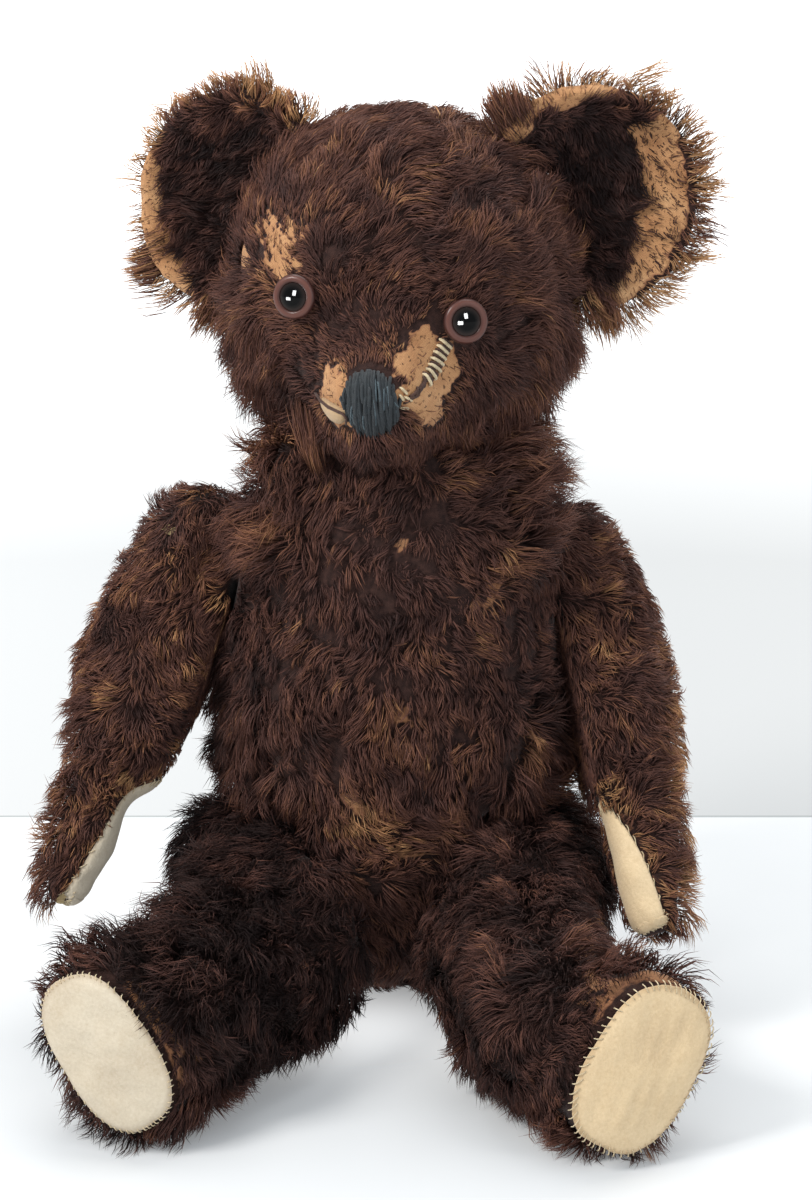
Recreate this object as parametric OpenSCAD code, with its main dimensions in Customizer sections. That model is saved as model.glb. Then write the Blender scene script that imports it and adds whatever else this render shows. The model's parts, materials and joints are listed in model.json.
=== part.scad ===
// Jointed teddy bear, sitting. Millimetres, +Z up, the bear faces -Y, its left side is +X.
// Origin: centre of the seat, on the surface the bear sits on.

/* [Torso] */
// Widest radius of the pear-shaped torso, to the middle of the pile
belly_r = 66; // [63:0.5:68]
// Height of the flat neck face above the seat
neck_z = 217; // [214:1:222]
// Tilt of the neck axis towards the bear's left, degrees
neck_tilt = 3; // [0:0.5:4]

/* [Head] */
// Widest radius of the head
head_r = 63; // [60:0.5:65]
// Turn of the head at rest, degrees, negative is towards the bear's right
head_turn = -7; // [-12:1:12]
// Radius of each cupped ear at its rim
ear_r = 40; // [36:1:42]
// Diameter of the coloured ring of each eye
eye_d = 15; // [12:0.5:17]

/* [Arms] */
// Distance of the arm joints from the centre plane
shoulder_x = 54; // [53:0.5:56]
// Height of the arm joints above the seat
shoulder_z = 164; // [161:1:166]
// Forward lean of the arms at rest, degrees
arm_lean = 27; // [24:1:30]
// Length of an arm from its joint to the tip of the paw
arm_len = 150; // [144:1:152]

/* [Legs] */
// Distance of the hip faces from the centre plane
hip_x = 31; // [30:0.5:33]
// Height of the hip joints above the seat
hip_z = 42; // [41:0.5:43]
// Long radius of the oval sole pad
sole_a = 30; // [27:0.5:31]
// Short radius of the oval sole pad
sole_b = 20.5; // [18:0.5:21.5]

/* [Cloth and joint hardware] */
// Thickness of the plush cloth
cloth = 2.6; // [2:0.1:3]
// Thickness of the felt of the pads
felt = 1.6; // [1.2:0.1:1.8]
// Thickness of each fibreboard joint disc
disc_t = 3; // [2.5:0.1:3.2]
// Diameter of the cotter pins
pin_d = 3; // [2.6:0.1:3.2]
// Gap between the two cloth faces of a joint
joint_gap = 1.2; // [1:0.1:1.6]

/* [Hidden] */
$fn = 36;

fur = [0.20, 0.12, 0.10];
ear_brown = [0.45, 0.29, 0.18];
straw = [0.78, 0.66, 0.42];
felt_cream = [0.88, 0.80, 0.66];
board = [0.55, 0.42, 0.28];
steel = [0.62, 0.62, 0.64];
iris_brown = [0.42, 0.18, 0.12];
pupil_black = [0.03, 0.03, 0.03];
lock_white = [0.9, 0.9, 0.88];
thread_blue = [0.12, 0.14, 0.17];

half_gap = joint_gap / 2;
// the stuffing stands this far clear of the cloth and of the discs' flat sides
stuff_gap = 0.3;
stuff_off = cloth + stuff_gap;
// pads and nose stand this far off the cloth
pad_gap = 0.2;
pin_r = pin_d / 2;
// pin holes in the cloth, and in the discs and washers
cloth_hole_r = pin_r + 0.6;
bore_r = pin_r + 0.06;

// joint stack along each joint's axis, counted from the middle of the gap
stack_play = 0.2;
washer_t = 1;
washer_r = 8;
disc_z = half_gap + cloth + stack_play;
washer_z = disc_z + disc_t + stack_play;
pin_z = washer_z + washer_t + stack_play;

arm_disc_r = 15;
hip_disc_r = 22;
neck_disc_r = 27;

// ---------- shapes ----------
// In all the shapes below, off is how far the surface is drawn in.
seg_steps = 6;
// half outline of a ball r1 at the start and a ball r2 at height h, joined by their common cone
function seg_pts(r1, r2, h) =
  let (n = seg_steps, slope = asin((r1 - r2) / h))
  concat(
    [for (i = [0:n]) let (t = -90 + (90 + slope) * i / n)
      [i == 0 ? 0 : r1 * cos(t), r1 * sin(t)]],
    [for (i = [0:n]) let (t = slope + (90 - slope) * i / n)
      [i == n ? 0 : r2 * cos(t), h + r2 * sin(t)]]);

// oval of n points with half axes a and b; power 2 is an ellipse, more is squarer
function oval_pts(a, b, n, power) = [
  for (i = [0:n - 1]) let (t = 360 * (i + 0.5) / n) [
    a * sign(cos(t)) * pow(abs(cos(t)), 2 / power),
    b * sign(sin(t)) * pow(abs(sin(t)), 2 / power)]];

// rounded, tapered segment from start to end
module seg(start, end, r1, r2) {
  run = end - start;
  translate(start)
    rotate([0, acos(run.z / norm(run)), atan2(run.y, run.x)])
      rotate_extrude() polygon(seg_pts(r1, r2, norm(run)));
}

// wide cutting block between two heights
slab_w = 400;
module slab(low, high) {
  translate([-slab_w / 2, -slab_w / 2, low]) cube([slab_w, slab_w, high - low]);
}

// ---------- joint frames: local +Z runs out of the torso along the joint's axis ----------
// shoulder faces: tilt (more flare at the bottom) and splay (more flare at the front)
left_tilt = 7.5;
right_tilt = 17;
splay = 12;
hip_y = -8;

module neck_frame() { translate([0, 0, neck_z]) rotate([0, neck_tilt, 0]) children(); }
module head_frame() { neck_frame() rotate([0, 0, head_turn]) children(); }
// in a shoulder frame the limb hangs along local +X, and the front of the bear is local -Y
module shoulder_frame(tilt) {
  translate([shoulder_x, 0, shoulder_z])
    rotate([0, 0, splay]) rotate([0, 90 - tilt, 0]) children();
}
module left_shoulder_frame() { shoulder_frame(left_tilt) children(); }
module right_shoulder_frame() { mirror([1, 0, 0]) shoulder_frame(right_tilt) children(); }
module left_hip_frame() { translate([hip_x, hip_y, hip_z]) rotate([0, 90, 0]) children(); }
module right_hip_frame() { mirror([1, 0, 0]) left_hip_frame() children(); }

module both_shoulders() {
  left_shoulder_frame() children();
  right_shoulder_frame() children();
}
module both_hips() {
  left_hip_frame() children();
  right_hip_frame() children();
}

// ---------- joint hardware ----------
module drilled_plate(r, h, z) {
  translate([0, 0, z]) difference() {
    cylinder(r = r, h = h);
    translate([0, 0, -1]) cylinder(r = bore_r, h = h + 2);
  }
}
module limb_disc(r) { color(board) drilled_plate(r, disc_t, disc_z); }
module body_disc(r) { color(board) drilled_plate(r, disc_t, -disc_z - disc_t); }
module limb_washer() { color(steel) drilled_plate(washer_r, washer_t, washer_z); }
module body_washer() { color(steel) drilled_plate(washer_r, washer_t, -washer_z - washer_t); }

// cotter pin: round shank, head on the limb side, two legs curled over on the torso side
pin_head_r = 3.6;
curl_x = 3.6;
curl_r = 2.7;
curl_wire_r = 0.8;
module cotter_pin() {
  color(steel) {
    translate([0, 0, -pin_z - 1.4]) cylinder(r = pin_r, h = 2 * pin_z + 2.2);
    translate([0, 0, pin_z + 0.2]) cylinder(r = pin_head_r, h = 1.8);
    for (turn = [0, 180])
      rotate([0, 0, turn]) translate([curl_x, 0, -pin_z - 1.2]) rotate([90, 0, 0])
        rotate_extrude(angle = -180, $fn = 32)
          translate([curl_r, 0]) circle(r = curl_wire_r, $fn = 16);
  }
}

// hollows in the stuffing round a disc, its washer and the end of the pin
disc_side_gap = 0.5;
module limb_pocket(r) {
  translate([0, 0, -2])
    cylinder(r = r + disc_side_gap, h = disc_z + disc_t + stuff_gap + 2);
  cylinder(r = 8.6, h = pin_z + 2.6);
}
module body_pocket(r) {
  translate([0, 0, -disc_z - disc_t - stuff_gap])
    cylinder(r = r + disc_side_gap, h = disc_t + 20);
  translate([0, 0, -pin_z - 5.4]) cylinder(r = 9.6, h = 20);
}

// ---------- torso ----------
seat_r = belly_r * 5 / 11;
torso_top_r = belly_r * 2 / 3;
belly_u = 0.40;
torso_steps = 14;
// the torso is drawn above the neck face, which then cuts it at a tilt
torso_h = neck_z + 6;
// height of the hip pockets above the hip joints
hip_pocket_up = 37;

// radius at height fraction u, 0 at the seat and 1 at the top
function torso_r(u) = u < belly_u
  ? seat_r + (belly_r - seat_r) * pow(sin(90 * u / belly_u), 0.62)
  : torso_top_r + (belly_r - torso_top_r) * pow(cos(90 * (u - belly_u) / 0.62), 0.7);

module torso_outer(off) {
  rotate_extrude($fn = 48) polygon(concat(
    [[0, off]],
    [for (i = [0:torso_steps])
      [torso_r(i / torso_steps) - off, off + (torso_h - 2 * off) * i / torso_steps]],
    [[0, torso_h - off]]));
}
// space beyond the joint faces, kept free for the head and limbs
module torso_cuts(off) {
  depth = half_gap + off;
  neck_frame() slab(-depth, 40);
  both_shoulders() slab(-depth, 60);
  // hip pockets, beyond the hip faces and under the belly
  for (x = [hip_x - depth, -hip_x + depth - 70])
    translate([x, -90, -10]) cube([70, 180, hip_z + 10 + hip_pocket_up + off]);
}
module torso_solid(off) {
  difference() {
    torso_outer(off);
    torso_cuts(off);
  }
}
module torso_skin() {
  color(fur) difference() {
    torso_solid(0);
    torso_solid(cloth);
    neck_frame() cylinder(r = cloth_hole_r, h = 60, center = true);
    both_shoulders() cylinder(r = cloth_hole_r, h = 60, center = true);
    both_hips() cylinder(r = cloth_hole_r, h = 36, center = true);
  }
}
module torso_stuffing() {
  color(straw) difference() {
    torso_solid(stuff_off);
    neck_frame() body_pocket(neck_disc_r);
    both_shoulders() body_pocket(arm_disc_r);
    both_hips() body_pocket(hip_disc_r);
  }
}

// ---------- head ----------
head_h = 112;
head_steps = 14;
// height fraction of the widest place
head_wide_u = 0.42;
muzzle_tip = [0.8, -57, 22];

// radius at height fraction u; the outline flares out differently below and above the widest place
function head_rad(u) =
  let (reach = u < head_wide_u ? 0.52 : 0.58)
  head_r * pow(max(0, 1 - pow(abs((u - head_wide_u) / reach), 2.5)), 0.5);

module head_ball(off) {
  rotate_extrude($fn = 48) polygon(concat(
    [[0, off]],
    [for (i = [0:head_steps - 1]) let (u = 0.5 - 0.5 * cos(180 * i / head_steps))
      [max(0.5, head_rad(u) - off), off + (head_h - 2 * off) * u]],
    [[0, head_h - off]]));
}
module muzzle(off) { seg([0, -24, 28], muzzle_tip, 36 - off, 24 - off); }
module head_outer(off) {
  head_ball(off);
  muzzle(off);
}
module head_solid(off) {
  difference() {
    head_outer(off);
    slab(-60, half_gap + off);
  }
}
module head_skin() {
  color(fur) head_frame() difference() {
    head_solid(0);
    head_solid(cloth);
    cylinder(r = cloth_hole_r, h = 30, center = true);
    both_eyes() cylinder(r = eye_stem_r + 0.4, h = 30, center = true);
  }
}
module head_stuffing() {
  color(straw) head_frame() difference() {
    head_solid(stuff_off);
    limb_pocket(neck_disc_r);
    both_eyes() translate([0, 0, -13]) cylinder(r = 7, h = 30);
  }
}

// nose: a pad of thread wrapped over the end of the muzzle
nose_t = 2;
module nose_stitching() {
  color(thread_blue) head_frame() intersection() {
    difference() {
      muzzle(-pad_gap - nose_t);
      muzzle(-pad_gap);
    }
    translate([muzzle_tip.x, -58, 22.5]) rotate([90, 0, 0])
      linear_extrude(height = 30) polygon(oval_pts(9.2, 10.8, 32, 2.5));
  }
}

// ---------- ears: two cupped layers, open towards the front ----------
ear_cup_r = 58;
ear_steps = 8;
// centre of each rim, in the head frame
left_ear_at = [65, 3, 85];
right_ear_at = [-62, 3, 75.5];
ear_turn = 15;

// bowl between two radii, its open side towards +Z
module ear_cup(outer_r, inner_r, rim_r) {
  spread = asin(rim_r / ear_cup_r);
  n = ear_steps;
  rotate_extrude($fn = 48) polygon(concat(
    [for (i = [0:n]) let (t = spread * i / n)
      [i == 0 ? 0 : outer_r * sin(t), -outer_r * cos(t)]],
    [for (i = [n:-1:0]) let (t = spread * i / n)
      [i == 0 ? 0 : inner_r * sin(t), -inner_r * cos(t)]]));
}
// side is 1 for the left ear and -1 for the right
module ear_layer(side, outer_r, inner_r, rim_r) {
  head_frame() difference() {
    translate(side > 0 ? left_ear_at : right_ear_at)
      rotate([0, 0, side * ear_turn]) rotate([86, 0, 0])
        translate([0, 0, sqrt(ear_cup_r * ear_cup_r - ear_r * ear_r)])
          ear_cup(outer_r, inner_r, rim_r);
    head_outer(-0.5);
  }
}
module ear_front(side) {
  color(ear_brown) ear_layer(side, ear_cup_r - 1.7, ear_cup_r - 4.6, ear_r + 0.4);
}
module ear_back(side) {
  color(fur) ear_layer(side, ear_cup_r + 1.5, ear_cup_r - 1.4, ear_r + 1);
}
module left_ear_front() { ear_front(1); }
module left_ear_back() { ear_back(1); }
module right_ear_front() { ear_front(-1); }
module right_ear_back() { ear_back(-1); }

// ---------- eyes: ring with a stem, domed pupil, lock washer behind the cloth ----------
eye_r = eye_d / 2;
eye_stem_r = 2;
eye_up = 4;

// on the head's surface, local +Z outwards; turn is counted from the front towards the left
module eye_frame(turn, z) {
  rotate([0, 0, turn]) translate([0, -head_rad(z / head_h), z])
    rotate([90 - eye_up, 0, 0]) children();
}
module left_eye_frame() { eye_frame(26.5, 48) children(); }
module right_eye_frame() { eye_frame(-27.5, 52) children(); }
module both_eyes() {
  left_eye_frame() children();
  right_eye_frame() children();
}
module eye_iris() {
  color(iris_brown) difference() {
    union() {
      translate([0, 0, 0.6]) cylinder(r1 = eye_r, r2 = eye_r - 0.4, h = 1.4);
      translate([0, 0, 2]) cylinder(r1 = eye_r - 0.4, r2 = eye_r - 1.8, h = 0.9);
      translate([0, 0, -10.5]) cylinder(r = eye_stem_r, h = 12);
    }
    translate([0, 0, 1.6]) cylinder(r = eye_r - 2.7, h = 5);
  }
}
module eye_pupil() {
  color(pupil_black) intersection() {
    translate([0, 0, 1.7]) cylinder(r = eye_r - 2.8, h = 8);
    translate([0, 0, -3.4]) sphere(r = eye_r + 1.2, $fn = 48);
  }
}
module eye_lock_washer() {
  color(lock_white) translate([0, 0, -8.6]) difference() {
    cylinder(r = 6.2, h = 1.4);
    translate([0, 0, -1]) cylinder(r = eye_stem_r + 0.1, h = 4);
  }
}
module left_eye_iris() { head_frame() left_eye_frame() eye_iris(); }
module left_eye_pupil() { head_frame() left_eye_frame() eye_pupil(); }
module left_eye_lock_washer() { head_frame() left_eye_frame() eye_lock_washer(); }
module right_eye_iris() { head_frame() right_eye_frame() eye_iris(); }
module right_eye_pupil() { head_frame() right_eye_frame() eye_pupil(); }
module right_eye_lock_washer() { head_frame() right_eye_frame() eye_lock_washer(); }

// ---------- arms ----------
// out is the outward bend of the paw, slim is how much flatter the upper arm lies
left_out = -4;
right_out = 2;
left_slim = 5;
right_slim = 0;

// in the shoulder frame: x down the leaning arm, y to the front, z outwards
module arm_frame() { rotate([0, 0, -arm_lean]) mirror([0, 1, 0]) children(); }
// point of an arm; x is given for an arm 150 long
function arm_pt(x, y, z) = [x * arm_len / 150, y, z];

module arm_outer(off, out, slim) {
  bend = out * 0.3 - slim * 0.6;
  // ball at the joint, upper arm, forearm, paw
  translate([0, 0, 8]) sphere(r = 19.6 - off);
  seg(arm_pt(0, 0, 20.5 - slim * 1.3), arm_pt(52, -3, 23 - slim),
    23 - slim * 0.9 - off, 26 - slim * 0.45 - off);
  seg(arm_pt(47, -2, 22.5 - slim * 0.9), arm_pt(86, 2, 19.5 + bend),
    24.2 - slim * 0.25 - off, 18.8 - off);
  seg(arm_pt(84, 3, 21 + bend), arm_pt(138, 14, 16 + out), 15.2 - off, 12 - off);
}
// arm with a flat joint face at height face
module arm_solid(off, out, slim, face) {
  difference() {
    arm_frame() arm_outer(off, out, slim);
    slab(-80, face);
  }
}
module arm_skin(out, slim) {
  color(fur) difference() {
    arm_solid(0, out, slim, half_gap);
    arm_solid(cloth, out, slim, half_gap + cloth);
    cylinder(r = cloth_hole_r, h = 30, center = true);
  }
}
module arm_stuffing(out, slim) {
  color(straw) difference() {
    arm_solid(stuff_off, out, slim, half_gap + stuff_off);
    limb_pocket(arm_disc_r);
  }
}
// turn is how far the pad faces inwards, counted from straight out to the side
module paw_pad(out, slim, turn) {
  color(felt_cream) intersection() {
    difference() {
      arm_solid(-felt - pad_gap, out, slim, half_gap);
      arm_solid(-pad_gap, out, slim, -20);
    }
    arm_frame() translate(arm_pt(123, 10.9, 17.4 + out * 0.8 - slim * 0.17))
      rotate([0, 0, 13]) rotate([-turn, 0, 0])
        linear_extrude(height = 40) polygon(oval_pts(27.5, 12, 36, 2.3));
  }
}
module left_arm_skin() { left_shoulder_frame() arm_skin(left_out, left_slim); }
module left_arm_stuffing() { left_shoulder_frame() arm_stuffing(left_out, left_slim); }
module left_paw_pad() { left_shoulder_frame() paw_pad(left_out, left_slim, turn = 148); }
module right_arm_skin() { right_shoulder_frame() arm_skin(right_out, right_slim); }
module right_arm_stuffing() { right_shoulder_frame() arm_stuffing(right_out, right_slim); }
module right_paw_pad() { right_shoulder_frame() paw_pad(right_out, right_slim, turn = 158); }

// ---------- legs ----------
// Both are drawn as the bear's left leg in the bear's own axes; the right one is mirrored.
// sole is the centre of the sole, rise the angle of the toes up from straight outwards
left_sole = [81, -159, 34];
right_sole = [95, -149, 35];
left_rise = 57;
right_rise = 53;
// reach of the flat hip face round the joint
hip_face_r = 61;
// nearest a leg comes to the centre plane, and to the seat surface
leg_min_x = 4;
leg_min_z = 1.5;

// local +Z out of the sole, local +X towards the toes
module foot_frame(sole, rise) {
  translate(sole) rotate([0, 0, 17]) rotate([83, 0, 0]) rotate([0, 0, rise]) children();
}
// thigh, lower leg, foot
module leg_outer(off, sole, rise) {
  seg([47, hip_y, hip_z], [42, -58, 38], 35 - off, 34 - off);
  seg([41.5, -55, 36.5], [sole.x - 21, sole.y + 33, 31], 32.5 - off, 29.5 - off);
  foot_frame(sole, rise) seg([-10.5, 0, -12], [12.5, 0, -12.5], 24 - off, 23 - off);
}
// everything inside the hip face, as far as hip_face_r from the joint's axis
module hip_face_cut(off) {
  depth = half_gap + off;
  difference() {
    translate([hip_x + depth - 100, -300, -200]) cube([100, 600, 400]);
    translate([hip_x - 120, hip_y, hip_z]) rotate([0, 90, 0]) difference() {
      cylinder(r = 300, h = 120 + depth + 1);
      translate([0, 0, -1]) cylinder(r = hip_face_r + off, h = 130 + depth + 1);
    }
  }
}
module leg_solid(off, sole, rise) {
  difference() {
    leg_outer(off, sole, rise);
    hip_face_cut(off);
    translate([-60 + leg_min_x + off, -300, -200]) cube([60, 600, 400]);
    foot_frame(sole, rise) slab(-off, 60);
    translate([-200, -400, -50]) cube([400, 800, 50 + leg_min_z + off]);
  }
}
module leg_skin(sole, rise) {
  color(fur) difference() {
    leg_solid(0, sole, rise);
    leg_solid(cloth, sole, rise);
    left_hip_frame() cylinder(r = cloth_hole_r, h = 30, center = true);
  }
}
module leg_stuffing(sole, rise) {
  color(straw) difference() {
    leg_solid(stuff_off, sole, rise);
    left_hip_frame() limb_pocket(hip_disc_r);
  }
}
module foot_pad(sole, rise) {
  color(felt_cream) foot_frame(sole, rise) translate([0, 0, pad_gap])
    linear_extrude(height = felt) polygon(oval_pts(sole_a, sole_b, 48, 2.6));
}
module left_leg_skin() { leg_skin(left_sole, left_rise); }
module left_leg_stuffing() { leg_stuffing(left_sole, left_rise); }
module left_foot_pad() { foot_pad(left_sole, left_rise); }
module right_leg_skin() { mirror([1, 0, 0]) leg_skin(right_sole, right_rise); }
module right_leg_stuffing() { mirror([1, 0, 0]) leg_stuffing(right_sole, right_rise); }
module right_foot_pad() { mirror([1, 0, 0]) foot_pad(right_sole, right_rise); }

// ---------- the five joints ----------
module neck_head_disc() { neck_frame() limb_disc(neck_disc_r); }
module neck_head_washer() { neck_frame() limb_washer(); }
module neck_cotter_pin() { neck_frame() cotter_pin(); }
module neck_torso_disc() { neck_frame() body_disc(neck_disc_r); }
module neck_torso_washer() { neck_frame() body_washer(); }
module left_arm_disc() { left_shoulder_frame() limb_disc(arm_disc_r); }
module left_arm_washer() { left_shoulder_frame() limb_washer(); }
module left_arm_cotter_pin() { left_shoulder_frame() cotter_pin(); }
module left_shoulder_disc() { left_shoulder_frame() body_disc(arm_disc_r); }
module left_shoulder_washer() { left_shoulder_frame() body_washer(); }
module right_arm_disc() { right_shoulder_frame() limb_disc(arm_disc_r); }
module right_arm_washer() { right_shoulder_frame() limb_washer(); }
module right_arm_cotter_pin() { right_shoulder_frame() cotter_pin(); }
module right_shoulder_disc() { right_shoulder_frame() body_disc(arm_disc_r); }
module right_shoulder_washer() { right_shoulder_frame() body_washer(); }
module left_leg_disc() { left_hip_frame() limb_disc(hip_disc_r); }
module left_leg_washer() { left_hip_frame() limb_washer(); }
module left_leg_cotter_pin() { left_hip_frame() cotter_pin(); }
module left_hip_disc() { left_hip_frame() body_disc(hip_disc_r); }
module left_hip_washer() { left_hip_frame() body_washer(); }
module right_leg_disc() { right_hip_frame() limb_disc(hip_disc_r); }
module right_leg_washer() { right_hip_frame() limb_washer(); }
module right_leg_cotter_pin() { right_hip_frame() cotter_pin(); }
module right_hip_disc() { right_hip_frame() body_disc(hip_disc_r); }
module right_hip_washer() { right_hip_frame() body_washer(); }

head_skin();
head_stuffing();
left_ear_front();
left_ear_back();
right_ear_front();
right_ear_back();
left_eye_iris();
left_eye_pupil();
left_eye_lock_washer();
right_eye_iris();
right_eye_pupil();
right_eye_lock_washer();
nose_stitching();
torso_skin();
torso_stuffing();
left_arm_skin();
left_arm_stuffing();
left_paw_pad();
right_arm_skin();
right_arm_stuffing();
right_paw_pad();
left_leg_skin();
left_leg_stuffing();
left_foot_pad();
right_leg_skin();
right_leg_stuffing();
right_foot_pad();
neck_head_disc();
neck_head_washer();
neck_cotter_pin();
neck_torso_disc();
neck_torso_washer();
left_arm_disc();
left_arm_washer();
left_arm_cotter_pin();
left_shoulder_disc();
left_shoulder_washer();
right_arm_disc();
right_arm_washer();
right_arm_cotter_pin();
right_shoulder_disc();
right_shoulder_washer();
left_leg_disc();
left_leg_washer();
left_leg_cotter_pin();
left_hip_disc();
left_hip_washer();
right_leg_disc();
right_leg_washer();
right_leg_cotter_pin();
right_hip_disc();
right_hip_washer();
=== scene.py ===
import json
import math

import bmesh
import bpy
import numpy as np
from mathutils import Matrix, Vector, bvhtree

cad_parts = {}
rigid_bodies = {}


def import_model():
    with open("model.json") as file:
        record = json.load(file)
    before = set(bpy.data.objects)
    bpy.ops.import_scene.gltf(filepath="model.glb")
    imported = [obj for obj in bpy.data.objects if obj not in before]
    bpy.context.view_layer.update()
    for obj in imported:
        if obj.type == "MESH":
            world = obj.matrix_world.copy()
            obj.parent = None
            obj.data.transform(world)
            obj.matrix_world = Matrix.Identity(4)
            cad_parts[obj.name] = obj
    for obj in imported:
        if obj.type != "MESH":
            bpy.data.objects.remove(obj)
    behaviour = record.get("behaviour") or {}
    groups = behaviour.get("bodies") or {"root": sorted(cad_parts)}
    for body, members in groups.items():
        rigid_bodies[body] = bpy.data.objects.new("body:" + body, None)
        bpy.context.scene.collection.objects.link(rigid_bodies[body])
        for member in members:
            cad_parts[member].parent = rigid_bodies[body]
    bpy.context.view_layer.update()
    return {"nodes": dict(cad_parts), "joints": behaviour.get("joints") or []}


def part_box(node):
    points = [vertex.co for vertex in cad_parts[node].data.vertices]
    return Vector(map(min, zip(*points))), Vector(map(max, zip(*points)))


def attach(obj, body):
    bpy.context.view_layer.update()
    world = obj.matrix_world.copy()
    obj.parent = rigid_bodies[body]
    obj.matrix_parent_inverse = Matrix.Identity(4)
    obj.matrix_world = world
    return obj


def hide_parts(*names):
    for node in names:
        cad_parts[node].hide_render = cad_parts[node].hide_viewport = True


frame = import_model()
NODES = frame["nodes"]
JOINT = {j["name"]: j for j in frame["joints"]}
scene = bpy.context.scene
UV = "OFBake"


# ------------------------------------------------------------------ helpers
def unit(v):
    v = np.asarray(v, float)
    return v / np.maximum(np.linalg.norm(v, axis=-1, keepdims=True), 1e-12)


def smooth(x, a, b):
    t = np.clip((np.asarray(x, float) - a) / (b - a), 0, 1)
    return t * t * (3 - 2 * t)


def noise(P, size, seed, terms=9):
    """Smooth noise of about -1..1 at points P in mm, with lumps about size mm across."""
    r = np.random.default_rng(seed)
    out = np.zeros(len(P))
    for _ in range(terms):
        k = unit(r.normal(size=3)) * 2 * math.pi / size * r.uniform(0.45, 1.2)
        out += np.sin(P @ k + r.uniform(0, 2 * math.pi))
    return out / math.sqrt(terms / 2.0)


def node_arrays(name):
    """Vertices in mm and triangles of a CAD node."""
    me = NODES[name].data
    co = np.zeros(len(me.vertices) * 3)
    me.vertices.foreach_get("co", co)
    me.calc_loop_triangles()
    tri = np.zeros(len(me.loop_triangles) * 3, int)
    me.loop_triangles.foreach_get("vertices", tri)
    return co.reshape(-1, 3) * 1000, tri.reshape(-1, 3)


def make_mesh(name, co_mm, faces, smooth_shade=True):
    """Object from points in mm and a list or array of faces of one size."""
    me = bpy.data.meshes.new(name)
    if isinstance(faces, np.ndarray):
        n, k = faces.shape
        me.vertices.add(len(co_mm))
        me.vertices.foreach_set("co", (np.asarray(co_mm, float) / 1000).astype(np.float32).ravel())
        me.loops.add(n * k)
        me.loops.foreach_set("vertex_index", faces.astype(np.int32).ravel())
        me.polygons.add(n)
        me.polygons.foreach_set("loop_start", np.arange(0, n * k, k, dtype=np.int32))
        me.update(calc_edges=True)
        me.validate()
    else:
        me.from_pydata([tuple(p) for p in np.asarray(co_mm, float) / 1000], [], [tuple(int(i) for i in f) for f in faces])
        me.update()
    if smooth_shade:
        me.polygons.foreach_set("use_smooth", np.ones(len(me.polygons), bool))
    ob = bpy.data.objects.new(name, me)
    scene.collection.objects.link(ob)
    return ob


def get_co(me):
    co = np.zeros(len(me.vertices) * 3)
    me.vertices.foreach_get("co", co)
    return co.reshape(-1, 3) * 1000


def set_co(me, co):
    me.vertices.foreach_set("co", (co / 1000).astype(np.float32).ravel())
    me.update()


def get_edges(me):
    e = np.zeros(len(me.edges) * 2, int)
    me.edges.foreach_get("vertices", e)
    return e.reshape(-1, 2)


def get_normals(me):
    no = np.zeros(len(me.vertices) * 3, np.float32)
    me.vertex_normals.foreach_get("vector", no)
    return no.reshape(-1, 3).astype(float)


def relax(co, edges, steps, lam=0.5, mask=None):
    deg = np.bincount(edges.ravel(), minlength=len(co)).astype(float)[:, None]
    w = lam if mask is None else lam * mask[:, None]
    for _ in range(steps):
        s = np.zeros_like(co)
        for k in range(3):
            s[:, k] = np.bincount(edges[:, 0], co[edges[:, 1], k], len(co)) + np.bincount(edges[:, 1], co[edges[:, 0], k], len(co))
        co = co + (s / np.maximum(deg, 1) - co) * w
    return co


def evaluated(ob, name=None):
    """Applies ob's modifiers, returns ob with the new mesh."""
    dg = bpy.context.evaluated_depsgraph_get()
    me = bpy.data.meshes.new_from_object(ob.evaluated_get(dg))
    ob.modifiers.clear()
    old = ob.data
    ob.data = me
    bpy.data.meshes.remove(old)
    return ob


def biggest_part(ob):
    bm = bmesh.new()
    bm.from_mesh(ob.data)
    bm.verts.ensure_lookup_table()
    seen = np.zeros(len(bm.verts), int)
    best, label, groups = 0, 0, {}
    for v in bm.verts:
        if seen[v.index]:
            continue
        label += 1
        stack, members = [v], []
        seen[v.index] = label
        while stack:
            x = stack.pop()
            members.append(x)
            for e in x.link_edges:
                y = e.other_vert(x)
                if not seen[y.index]:
                    seen[y.index] = label
                    stack.append(y)
        groups[label] = members
    keep = max(groups, key=lambda g: len(groups[g]))
    drop = [v for g, m in groups.items() if g != keep for v in m]
    bmesh.ops.delete(bm, geom=drop, context="VERTS")
    bm.to_mesh(ob.data)
    bm.free()
    return ob


def solid(name, nodes, voxel):
    """One closed surface round the outside of these CAD nodes."""
    cos, tris, n = [], [], 0
    for nd in nodes:
        c, t = node_arrays(nd)
        cos.append(c)
        tris.append(t + n)
        n += len(c)
    ob = make_mesh(name, np.vstack(cos), np.vstack(tris))
    m = ob.modifiers.new("r", "REMESH")
    m.mode = "VOXEL"
    m.voxel_size = voxel / 1000
    evaluated(ob)
    biggest_part(ob)
    return ob


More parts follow.
